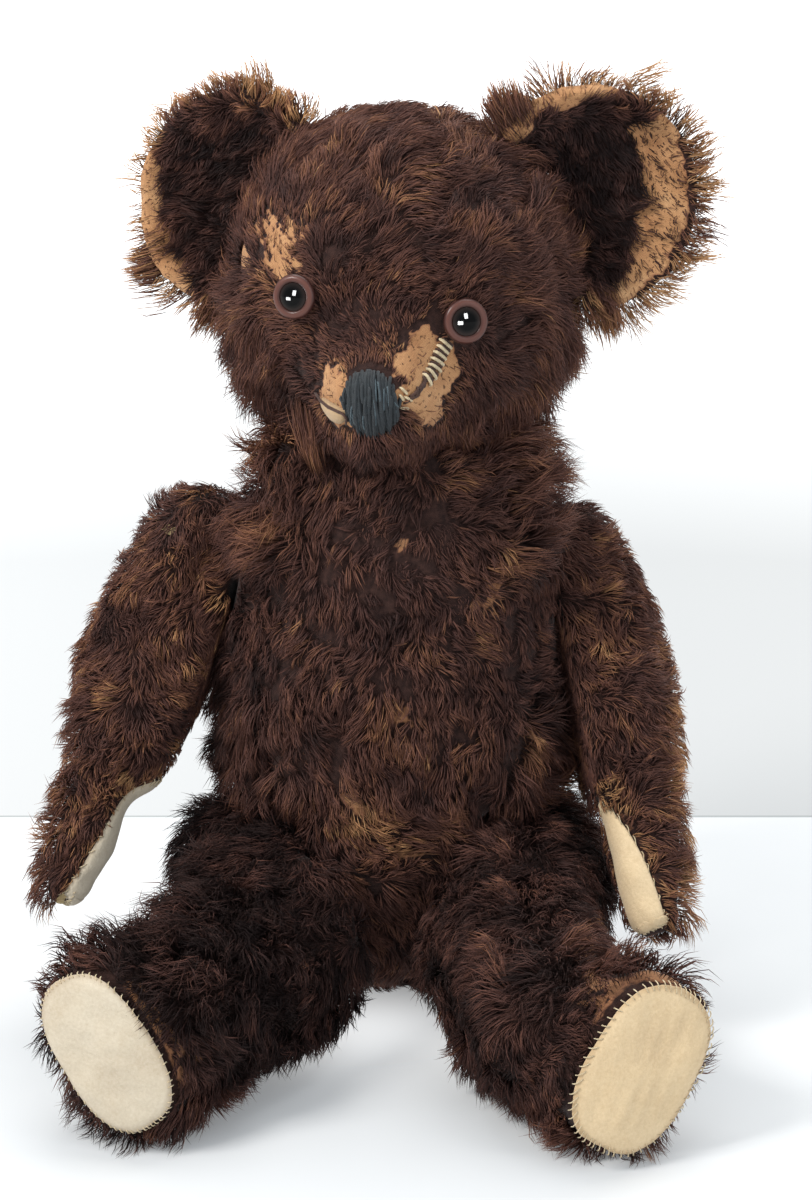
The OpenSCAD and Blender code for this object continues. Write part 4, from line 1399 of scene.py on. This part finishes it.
# ------------------------------------------------------------------ felt pads with overcast stitches
def oval_uv(kind, th, f):
    """Point of a squarish oval of unit size at angle th, scaled by f."""
    e = 2.6 if kind == "leg" else 2.3
    c, s_ = math.cos(th), math.sin(th)
    k = f / (abs(c) ** e + abs(s_) ** e) ** (1 / e)
    return c * k, s_ * k


def felt_pad(name, side, kind, node, seed):
    body = f"{side}_{kind}"
    m, a, b, n, ra, rb = pad_shape(kind, side)
    rings, seg = 14, 72
    r = np.random.default_rng(seed)
    ths = np.linspace(0, 2 * math.pi, seg, endpoint=False)
    wob = 1 + 0.012 * np.sin(3 * ths + r.uniform(0, 6)) + 0.008 * np.sin(7 * ths + r.uniform(0, 6)) + 0.005 * np.sin(19 * ths)

    def place(u, v, lift):
        """Points on the limb under pad coordinates u, v (mm), and the way out of it."""
        if kind == "leg":
            return m + a * u + b * v + n * (0.25 + lift), n
        phi = v / LIMB_R
        out = n * math.cos(phi) + b * math.sin(phi)
        p = m + a * u - n * LIMB_R + out * LIMB_R
        q, no = drop(body, (p + out * 16)[None], (-out)[None], 0.35)
        return q[0] + out * lift, out
    top, nn, uv = [], [], []
    for i in range(rings + 1):
        f = i / rings
        for k in range(seg):
            cu, cv = oval_uv(kind, ths[k], f * wob[k])
            p, d = place(ra * cu, rb * cv, 0.0)
            top.append(p)
            nn.append(d)
            uv.append(f)
            if i == 0:
                break
    base, nn, uv = np.array(top), np.array(nn), np.array(uv)
    crown = (1.2 if kind == "leg" else 0.35) * (1 - uv ** 2)
    lump = 0.40 * noise(base, 17, seed + 3) * (1 - uv ** 4) + 0.12 * noise(base, 6, seed + 4)
    thick = 1.6 * np.sqrt(np.clip(1 - uv ** 9, 0.02, 1))
    up = base + nn * (thick + crown + lump)[:, None]
    n1 = len(up)
    co = np.vstack([up, base])
    fs = []

    def idx(i, k):
        return 0 if i == 0 else 1 + (i - 1) * seg + k % seg
    for i in range(rings):
        for k in range(seg):
            if i == 0:
                fs.append((0, idx(1, k), idx(1, k + 1)))
            else:
                fs.append((idx(i, k), idx(i + 1, k), idx(i + 1, k + 1), idx(i, k + 1)))
    fs += [tuple(x + n1 for x in reversed(f)) for f in list(fs)]
    for k in range(seg):
        fs.append((idx(rings, k), idx(rings, k) + n1, idx(rings, k + 1) + n1, idx(rings, k + 1)))
    ob = make_mesh(name, co, fs)
    bm = bmesh.new()
    bm.from_mesh(ob.data)
    bmesh.ops.recalc_face_normals(bm, faces=bm.faces)
    bm.to_mesh(ob.data)
    bm.free()
    subdivide(ob)
    P = get_co(ob.data)
    u, v, out, h = pad_uv(kind, side, P)
    set_attr(ob, "rim", smooth(pad_radius(kind, side, u, v), 0.90, 1.0))
    dress(ob, FELT[side], body, "felt", node)
    # overcast stitches: short slanted loops that pull the edge down
    lines = []
    count = 62 if kind == "leg" else 44
    bt = tree(ob)
    for th in np.linspace(0, 2 * math.pi, count, endpoint=False):
        j = r.normal(0, 0.012)
        pts = []
        for f, dth, hh in ((0.965, -0.020, 0.10), (0.98, -0.010, 0.16), (1.0, 0.0, 0.12), (1.008, 0.006, -0.1), (1.014, 0.010, -0.8)) if name == "right_foot_felt_pad" else ((0.935, -0.035, 0.12), (0.965, -0.015, 0.30), (1.0, 0.0, 0.32), (1.025, 0.014, 0.05), (1.04, 0.026, -0.8)):
            cu, cv = oval_uv(kind, th + j + dth, f)
            p, d = place(ra * cu, rb * cv, 0.0)
            loc, _, _, _ = bt.ray_cast(Vector((p + d * 9) / 1000), Vector(-d))
            if loc is not None and f < 1.0:
                pts.append(np.array(loc) * 1000 + d * hh)
            else:
                pts.append(p + d * (0.45 + hh * 1.6))
        lines.append(pts)
    st = tubes(name.replace("pad", "pad_stitches"), lines, 0.21, 5)
    dress(st, CREAM_THREAD, body, "felt")
    return ob


for i, s in enumerate(("left", "right")):
    felt_pad(f"{s}_foot_felt_pad", s, "leg", f"{s}_foot_pad", 700 + i * 10)
    felt_pad(f"{s}_paw_felt_pad", s, "arm", f"{s}_paw_pad", 740 + i * 10)


# ------------------------------------------------------------------ nose: worn upright satin stitches over the muzzle's end
def face_point(dx, dz, lift):
    """Point on the face cloth at dx, dz mm from the nose's centre, seen from the front."""
    p = NOSE + np.array([dx, 0, dz]) - np.array([0, 40.0, 0])
    q, no = drop("head", p[None], np.array([[0, 1.0, 0]]), lift)
    return q[0]


def nose():
    r = np.random.default_rng(900)
    hw, hh = 9.0, 12.0
    dark, shine = [], []
    cols = 23
    for layer in range(3):
        for k in range(cols):
            x = -1 + 2 * (k + 0.5 + 0.55 * r.normal()) / cols
            x = max(-0.985, min(0.985, x))
            top = (1 - abs(x) ** 2.2) ** (1 / 2.2) * (1.0 - 0.14 * r.random())
            bot = (1 - abs(x) ** 2.2) ** (1 / 2.2) * (1.0 - 0.13 * r.random())
            sl = r.normal(0.10, 0.16)
            f0, f1 = (0.0, 1.0) if layer < 2 else sorted(r.uniform(0.08, 0.95, 2))
            if f1 - f0 < 0.22:
                f0, f1 = f0 * 0.8, min(0.95, f0 * 0.8 + 0.28)
            pts = []
            g = np.linspace(0, 1, 10)
            bow, lay = 0.9 * r.normal(), 0.22 * r.normal()
            for t in g:
                f = f0 + (f1 - f0) * t
                z = (top - f * (top + bot)) * hh - 2.4
                xx = (x * (1 - 0.07 * f) + sl * (f - 0.5)) * hw + 0.25 * bow * math.sin(math.pi * t)
                end = 0.9 if t in (0.0, 1.0) else 0.0
                puffy = 1.1 * (1 - abs(x) ** 3) * math.sin(math.pi * min(0.93, max(0.07, f)))
                pts.append(face_point(xx, z, 0.35 + 0.42 * layer + puffy - end + lay))
            # a few short top-layer threads take the lighter colour: painted highlights on the nose
            (shine if (layer == 2 and f1 - f0 < 0.45 and r.random() < 0.6) else dark).append(pts)
    ob = tubes("nose_threads", dark, 0.64, 6)
    dress(ob, NOSE_THREAD, "head", "nose_thread", "nose_stitching")
    ob = tubes("nose_threads_rubbed", shine, 0.40, 6)
    dress(ob, NOSE_SHINE, "head", "nose_thread")


nose()


# ------------------------------------------------------------------ the mended seam beside the nose, and loose ends
def mend():
    r = np.random.default_rng(910)
    seam = np.array([(25.6, 16.1), (23.8, 12.9), (22.4, 10.2), (21.2, 7.4), (19.0, 5.0), (15.6, 2.2), (12.7, -1.3)])
    seg = np.linalg.norm(np.diff(seam, axis=0), axis=1)
    at = np.concatenate([[0], np.cumsum(seg)])

    def on_seam(d):
        return np.array([np.interp(d, at, seam[:, 0]), np.interp(d, at, seam[:, 1])])

    def stitch(c, w, half, lift):
        pts = []
        for g in np.linspace(-1, 1, 8):
            p = c + w * g * half
            pts.append(face_point(p[0], p[1], lift * (1 - g ** 4) + 0.15 - (0.7 if abs(g) == 1 else 0)))
        return pts
    light_, dark_ = [], []
    for i in range(7):
        d = 0.7 + i * 2.12
        c = on_seam(d)
        t = unit(on_seam(d + 0.5) - on_seam(d - 0.5 if d > 0.5 else 0))
        w = unit(np.array([-t[1], t[0]]) + t * (0.10 + r.normal(0, 0.05)))
        if w[0] < 0:
            w = -w
        w = unit(w + np.array([0, -0.22]))
        light_.append(stitch(c, w, 2.75 * (0.92 + 0.16 * r.random()), 1.15))
    for i in range(7):
        d = -0.35 + i * 2.12
        c = on_seam(d) + r.normal(0, 0.15, 2)
        t = unit(on_seam(d + 0.6) - on_seam(max(0, d - 0.6)))
        w = np.array([-t[1], t[0]])
        dark_.append(stitch(c, unit(w + np.array([0, -0.2]) * np.sign(w[0])), 2.5, 0.70))
    for i in range(9):                                     # the dark thread that runs on to the nose
        d = 13.0 + i * 1.15
        c = on_seam(min(d, at[-1] - 0.3)) + r.normal(0, 0.35, 2)
        t = unit(on_seam(at[-1]) - on_seam(12.0))
        w = unit(t + np.array([-t[1], t[0]]) * r.normal(0, 0.5))
        dark_.append(stitch(c, w, 1.8, 0.55))
    a = tubes("face_mend_light_stitches", light_, 0.60, 7, taper=[0.7, 0.95, 1, 1, 1, 1, 0.95, 0.7])
    dress(a, CREAM_THREAD, "head", "felt")
    b = tubes("face_mend_dark_stitches", dark_, 0.52, 6)
    dress(b, BROWN_THREAD, "head", "nose_thread")
    line = [face_point(*on_seam(d), 0.15) for d in np.linspace(0, at[-1], 16)]
    c = tubes("face_mend_seam", [line], 0.60, 6)
    dress(c, BROWN_THREAD, "head", "nose_thread")
    # pale bits of thread at the nose's left edge
    bits = [stitch(np.array(p), unit(np.array(w)), h, 0.6) for p, w, h in (((10.9, 2.4), (1, -1.1), 1.9), ((12.4, -0.4), (1, -0.7), 1.6), ((11.2, -3.4), (1, -0.25), 1.6), ((10.2, 0.2), (0.6, -1), 1.4))]
    d = tubes("nose_pale_ends", bits, 0.50, 6, taper=[0.6, 0.9, 1, 1, 1, 1, 0.9, 0.6])
    dress(d, CREAM_THREAD, "head", "felt")


mend()


def crescent():
    """The curled edge of felt lining that shows under the left-hand bare patch, beside the nose."""
    rim = [(-16.6, -2.0), (-13.2, -3.3), (-10.6, -4.0), (-7.9, -4.9), (-7.7, -7.5), (-9.4, -10.2), (-12.0, -9.9), (-14.7, -7.3), (-16.3, -4.9)]
    rim = np.array(rim)
    mid = rim.mean(0)
    m = 36
    k = np.linspace(0, len(rim), m, endpoint=False)
    loop = np.stack([np.interp(k, np.arange(len(rim) + 1), np.append(rim[:, i], rim[0, i])) for i in (0, 1)], 1)
    for _ in range(3):
        loop = 0.5 * loop + 0.25 * (np.roll(loop, 1, 0) + np.roll(loop, -1, 0))
    top, fs, rings = [], [], 5
    for i in range(rings + 1):
        f = i / rings
        for q in loop:
            p = mid + (q - mid) * f
            top.append(face_point(p[0], p[1], 1.5 + 1.3 * (1 - f ** 3)))
            if i == 0:
                break
    low = []
    for i in range(rings + 1):
        f = i / rings
        for q in loop:
            p = mid + (q - mid) * f
            low.append(face_point(p[0], p[1], -0.3))
            if i == 0:
                break
    n1 = len(top)

    def idx(i, j):
        return 0 if i == 0 else 1 + (i - 1) * m + j % m
    for i in range(rings):
        for j in range(m):
            fs.append((0, idx(1, j), idx(1, j + 1)) if i == 0 else (idx(i, j), idx(i + 1, j), idx(i + 1, j + 1), idx(i, j + 1)))
    fs += [tuple(x + n1 for x in reversed(f)) for f in list(fs)]
    for j in range(m):
        fs.append((idx(rings, j), idx(rings, j) + n1, idx(rings, j + 1) + n1, idx(rings, j + 1)))
    ob = make_mesh("muzzle_lining_edge", np.array(top + low), fs)
    bm = bmesh.new()
    bm.from_mesh(ob.data)
    bmesh.ops.recalc_face_normals(bm, faces=bm.faces)
    bm.to_mesh(ob.data)
    bm.free()
    subdivide(ob)
    set_attr(ob, "rim", np.zeros(len(ob.data.vertices)))
    dress(ob, felt_material("felt_lining", (0.66, 0.53, 0.42)), "head", "felt")
    line = [face_point(x, z, 2.2) for x, z in ((-17.4, -1.2), (-15.4, -3.0), (-12.8, -4.1), (-10.2, -4.5), (-8.2, -5.0), (-7.0, -6.6), (-7.2, -9.0))]
    ob = tubes("muzzle_lining_thread", [line], 0.55, 7, taper=[0.6, 1, 1.1, 1, 1, 0.9, 0.6])
    dress(ob, BROWN_THREAD, "head", "nose_thread")


crescent()

# the long lock that hangs from the right cheek, and the tuft behind the right ear
p0 = face_point(-22.5, -7.0, 0.5)
FURRY += tuft("cheek_lock", "head", p0, p0 + np.array([3.4, -1.0, -23.5]), (2.3, 0.8, 2.6), 0.50, 400, 930, (0.46, 0.66), 0.19, bow=(-0.8, -3.4, 0))
RE = centre("right_ear_back")
FURRY += tuft("ear_tuft", "head", RE + np.array([-23.0, 4.5, -22.0]), RE + np.array([-37.5, 6.5, -26.0]), (2.0, 1.8, 5.0), 0.85, 380, 940, (0.22, 0.74), 0.20, bow=(0, 0, -0.8))


# ------------------------------------------------------------------ eyes
def lathe(name, profile, c, ax, sides=64):
    """Closed surface of revolution; profile is (radius, height) from axis to axis, mm."""
    ref = np.array([0, 0, 1.0])
    u = unit(np.cross(ax, ref))
    v = np.cross(ax, u)
    co, fs, rows = [], [], []
    for rr, h in profile:
        if rr < 1e-6:
            rows.append([len(co)])
            co.append(c + ax * h)
        else:
            rows.append(list(range(len(co), len(co) + sides)))
            for k in range(sides):
                a = 2 * math.pi * k / sides
                co.append(c + ax * h + rr * (math.cos(a) * u + math.sin(a) * v))
    for i in range(len(rows) - 1):
        A, B = rows[i], rows[i + 1]
        for k in range(sides):
            k2 = (k + 1) % sides
            if len(A) == 1 and len(B) == 1:
                continue
            if len(A) == 1:
                fs.append((A[0], B[k], B[k2]))
            elif len(B) == 1:
                fs.append((A[k2], A[k], B[0]))
            else:
                fs.append((A[k], B[k], B[k2], A[k2]))
    ob = make_mesh(name, np.array(co), fs)
    bm = bmesh.new()
    bm.from_mesh(ob.data)
    bmesh.ops.recalc_face_normals(bm, faces=bm.faces)
    bm.to_mesh(ob.data)
    bm.free()
    return ob


def axis_of(a, b):
    return unit(centre(a) - centre(b))


EYE_DOME = {}
for s in ("left", "right"):
    ax = axis_of(f"{s}_eye_pupil", f"{s}_eye_lock_washer")
    c0, tri0 = node_arrays(f"{s}_eye_iris")
    pc = centre(f"{s}_eye_pupil")
    back = centre(f"{s}_eye_lock_washer")
    base = pc + ax * (((c0 - pc) @ ax).max())         # front edge of the ring
    q = c0 - base
    h = q @ ax
    rad = np.linalg.norm(q - h[:, None] * ax, axis=1)
    R = rad.max() * 1.03
    hole = R - 2.8
    # a loose shank lets the glass tip a little towards the front
    base = base + ax * 0.5
    ax = unit(ax + HEAD_FWD * (0.75 if s == "right" else 0.25) + np.array([0, -0.10, 0.06]))
    z0, z1 = -2.3, 0.0
    prof = [(0, z0 - 8.6), (1.5, z0 - 8.6), (1.9, z0 - 8.2), (2.0, z0 - 1.0), (2.0, z0 + 0.02), (R - 0.5, z0), (R - 0.1, z0 + 0.25), (R, z0 + 0.7), (R - 0.10, z0 + 1.1), (R - 0.40, z1 - 0.62), (R - 0.9, z1 - 0.22), (R - 1.5, z1 - 0.02), (R - 2.1, z1 - 0.05), (hole + 0.15, z1 - 0.28), (hole, z1 - 0.55), (hole, z1 - 1.25), (0, z1 - 1.25)]
    ring = lathe(f"{s}_eye_ring", prof, base, ax)
    co = get_co(ring.data) - base
    rr = np.linalg.norm(co - (co @ ax)[:, None] * ax, axis=1)
    set_attr(ring, "radial", smooth(rr, hole, R))
    dress(ring, RING, "head", "eye_ring", f"{s}_eye_iris")
    rp = hole - 0.12
    top = 0.85
    EYE_DOME[s] = (base + ax * (z1 - 0.45), ax, (rp ** 2 + (top + 0.45) ** 2) / (2 * (top + 0.45)))
    dome = [(0, z1 - 1.15), (rp, z1 - 1.15), (rp, z1 - 0.45)] + [(rp * math.cos(t), z1 - 0.45 + (top + 0.45) * (1 - math.cos(t) ** 2)) for t in np.linspace(0.10, math.pi / 2 - 0.08, 16)] + [(0, z1 + top)]
    pup = lathe(f"{s}_eye_dome", dome, base, ax)
    co = get_co(pup.data) - base
    rr = np.linalg.norm(co - (co @ ax)[:, None] * ax, axis=1)
    set_attr(pup, "radial", smooth(rr, 0, rp))
    dress(pup, PUPIL, "head", "eye_pupil", f"{s}_eye_pupil")


# ------------------------------------------------------------------ stuffing: packed wood wool, and the joint hardware
def stuffing(body, seed):
    ob = solid(f"{body}_wood_wool", [f"{body}_stuffing"], 3.6)
    co, no, ed = get_co(ob.data), get_normals(ob.data), get_edges(ob.data)
    free = face_free(co, body)
    co = co - no * (3.4 * free + 0.6)[:, None]
    co = co + no * (0.7 * noise(co, 7, seed) * free)[:, None]
    set_co(ob.data, co)
    dress(ob, WOOL, body, "wood_wool", f"{body}_stuffing")


for i, b in enumerate(("torso", "head", "left_arm", "right_arm", "left_leg", "right_leg")):
    stuffing(b, 800 + i)
for name, ob in NODES.items():
    mat = BOARD if name.endswith("disc") else NYLON if name.endswith("lock_washer") else STEEL if ("washer" in name or "pin" in name) else None
    if mat is not None:
        ob.data.materials.clear()
        ob.data.materials.append(mat)


# ------------------------------------------------------------------ floor, light, camera
def floor():
    m = Mat("floor_paper")
    s = m.n("ShaderNodeSeparateXYZ")
    m.l(m.n("ShaderNodeNewGeometry").outputs["Position"], s.inputs[0])
    n1 = m.noise(9, 3, 0.5)
    near = m.ramp(n1, [(0.3, (0.545, 0.555, 0.565)), (0.7, (0.570, 0.580, 0.588))])
    edge = m.math("GREATER_THAN", s.outputs[1], 0.161)
    col = m.mix(edge, near, (0.33, 0.337, 0.34))
    d = m.math("ABSOLUTE", m.math("SUBTRACT", s.outputs[1], 0.161))
    line = m.math("LESS_THAN", d, 0.0011)
    col = m.mix(m.math("MULTIPLY", line, 0.7), col, (0.26, 0.28, 0.28))
    # painted light: the floor glows a little everywhere, which lifts its shadows, and the wall sheet behind glows
    # brighter with distance
    far = m.n("ShaderNodeMapRange")
    m.l(s.outputs[1], far.inputs["Value"])
    far.inputs["From Min"].default_value, far.inputs["From Max"].default_value = 0.6, 2.6
    far.inputs["To Min"].default_value, far.inputs["To Max"].default_value = 0.23, 1.0
    glow = m.math("ADD", m.math("MULTIPLY", edge, m.math("SUBTRACT", far.outputs["Result"], 0.15)), 0.15)
    painted_side_light = m.n("ShaderNodeMapRange")                          # painted light: more glow on the left
    m.l(s.outputs[0], painted_side_light.inputs["Value"])
    painted_side_light.inputs["From Min"].default_value, painted_side_light.inputs["From Max"].default_value = 0.10, -0.25
    painted_side_light.inputs["To Min"].default_value, painted_side_light.inputs["To Max"].default_value = 0.0, 0.16
    glow = m.math("ADD", glow, m.math("MULTIPLY", edge, painted_side_light.outputs["Result"]))
    front = m.n("ShaderNodeMapRange")                        # and everything fades to white with distance
    rr = m.math("SQRT", m.math("ADD", m.math("MULTIPLY", s.outputs[0], s.outputs[0]), m.math("MULTIPLY", s.outputs[1], s.outputs[1])))
    m.l(rr, front.inputs["Value"])
    front.inputs["From Min"].default_value, front.inputs["From Max"].default_value = 0.65, 2.2
    front.inputs["To Min"].default_value, front.inputs["To Max"].default_value = 0.0, 0.7
    glow = m.math("ADD", glow, front.outputs["Result"])
    # painted light: a pool of glow painted on the floor between the legs, which lightens the shadow there
    ex, ey = m.math("DIVIDE", m.math("ADD", s.outputs[0], 0.014), 0.045), m.math("DIVIDE", m.math("ADD", s.outputs[1], 0.058), 0.034)
    painted_light_pool = m.math("POWER", 2.718, m.math("MULTIPLY", m.math("ADD", m.math("MULTIPLY", ex, ex), m.math("MULTIPLY", ey, ey)), -1.0))
    glow = m.math("ADD", glow, m.math("MULTIPLY", painted_light_pool, 0.62))
    glow = m.math("MULTIPLY", glow, m.math("SUBTRACT", 1.0, m.math("MULTIPLY", line, 0.6)))
    m.set(Base_Color=col, Roughness=0.7, Specular_IOR_Level=0.1, Emission_Color=(0.985, 0.995, 1, 1), Emission_Strength=glow)
    m.bump(m.noise(260, 2, 0.5), 0.05, 0.0003)
    co = np.array([[-6000, -6000, 0], [6000, -6000, 0], [6000, 9000, 0], [-6000, 9000, 0]], float)
    ob = make_mesh("floor", co, [(0, 1, 2, 3)])
    ob.data.materials.append(m.m)
    # the floor drops with the lowest foot when the legs are turned down, so the bear then stands on it
    marks = []
    for s in ("left", "right"):
        c, t = node_arrays(f"{s}_leg_skin")
        mid, a, b, n, ra, rb = FOOTF[s]
        for k, p in enumerate((mid + a * (ra + 6), mid - a * (ra + 6), mid + n * 6, mid - n * 34 - a * 24, mid - n * 34 + a * 20)):
            e = bpy.data.objects.new(f"mark_{s}_{k}", None)
            scene.collection.objects.link(e)
            e.location = Vector(p / 1000)
            bpy.context.view_layer.update()
            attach(e, f"{s}_leg")
            marks.append((e, 0.006))
    dr = ob.driver_add("location", 2).driver
    dr.type = "SCRIPTED"
    names = []
    for i, (e, pad) in enumerate(marks):
        v = dr.variables.new()
        v.name = f"v{i}"
        v.type = "TRANSFORMS"
        v.targets[0].id = e
        v.targets[0].transform_type = "LOC_Z"
        v.targets[0].transform_space = "WORLD_SPACE"
        names.append(v.name)
    lowest = min(float(e.matrix_world.translation.z) for e, _ in marks)
    dr.expression = f"min(0, {', '.join(names)}) + 0" if lowest >= 0 else f"min(0, min({', '.join(names)}) - {lowest:.5f})"
    return ob


floor()


def light(name, loc, size, power, target=(0, 0, 0.16), color=(1, 1, 1)):
    d = bpy.data.lights.new(name, "AREA")
    d.shape = "RECTANGLE"
    d.size, d.size_y = size
    d.energy = power
    d.color = color
    ob = bpy.data.objects.new(name, d)
    scene.collection.objects.link(ob)
    ob.location = loc
    ob.rotation_euler = (Vector(target) - Vector(loc)).to_track_quat("-Z", "Y").to_euler()
    return ob


studio = [
    light("key", (-1.15, -0.75, 1.35), (0.55, 0.55), 27, color=(1.0, 0.975, 0.94)),
    light("top", (0.10, 0.45, 1.6), (1.3, 1.0), 17, color=(1, 0.99, 0.97)),
    light("fill", (1.1, -1.2, 0.9), (1.2, 1.2), 6, color=(0.92, 0.96, 1.0)),
    light("rim", (1.0, 1.0, 0.9), (0.8, 0.8), 10, color=(1.0, 0.95, 0.88)),
]
no_shine = bpy.data.collections.new("glass_without_studio_lights")
for s in ("left", "right"):
    no_shine.objects.link(bpy.data.objects[f"{s}_eye_dome"])
for k in range(2):
    no_shine.collection_objects[k].light_linking.link_state = "EXCLUDE"
for ob in studio:
    ob.light_linking.receiver_collection = no_shine

w = bpy.data.worlds.new("world")
scene.world = w
w.use_nodes = True
bg = w.node_tree.nodes["Background"]
bg.inputs["Color"].default_value = (0.86, 0.935, 1.0, 1)
bg.inputs["Strength"].default_value = 0.72
nt = w.node_tree
path, pale, pick = nt.nodes.new("ShaderNodeLightPath"), nt.nodes.new("ShaderNodeBackground"), nt.nodes.new("ShaderNodeMixShader")
pale.inputs["Color"].default_value = (1, 1, 1, 1)            # the room behind the paper is plain white
pale.inputs["Strength"].default_value = 1.0
nt.links.new(path.outputs["Is Camera Ray"], pick.inputs[0])
nt.links.new(bg.outputs[0], pick.inputs[1])
nt.links.new(pale.outputs[0], pick.inputs[2])
nt.links.new(pick.outputs[0], nt.nodes["World Output"].inputs["Surface"])
scene.view_settings.view_transform = "Standard"

cam_d = bpy.data.cameras.new("camera")
cam = bpy.data.objects.new("camera", cam_d)
scene.collection.objects.link(cam)
scene.camera = cam
cam_d.sensor_width = 36
cam_d.lens = 18 / (600 / 2533.0)
cam_d.clip_start, cam_d.clip_end = 0.05, 50
tgt = Vector((0.004, 0.0, 0.148))
el = math.radians(16)
cam.location = tgt + Vector((0, -math.cos(el), math.sin(el))) * 0.95
cam.rotation_euler = (tgt - cam.location).to_track_quat("-Z", "Y").to_euler()

# two window panes that are seen only as the small highlights in the eyes
for s in ("left", "right"):
    glass = bpy.data.collections.new(f"glass_{s}")
    glass.objects.link(bpy.data.objects[f"{s}_eye_dome"])
    dome_c, dome_ax, dome_r = EYE_DOME[s]
    to_cam = unit(np.array(cam.location) * 1000 - dome_c)
    for k, (dx, dz) in enumerate(((1.0, 1.55), (-1.15, -1.45)) if s == "right" else ((-0.6, 2.1), (-2.4, -0.9))):
        nrm = unit(dome_ax + (HEAD_SIDE * dx + NECK_AX * dz) / dome_r)
        ray = 2 * (nrm @ to_cam) * nrm - to_cam
        lp = dome_c / 1000 + ray * 1.25
        pane = light(f"pane_{s}_{k}", tuple(lp), (0.46, 0.54) if k else (0.32, 0.46), 110.0 if k else 70.0, target=tuple(dome_c / 1000))
        pane.visible_diffuse = False
        pane.light_linking.receiver_collection = glass
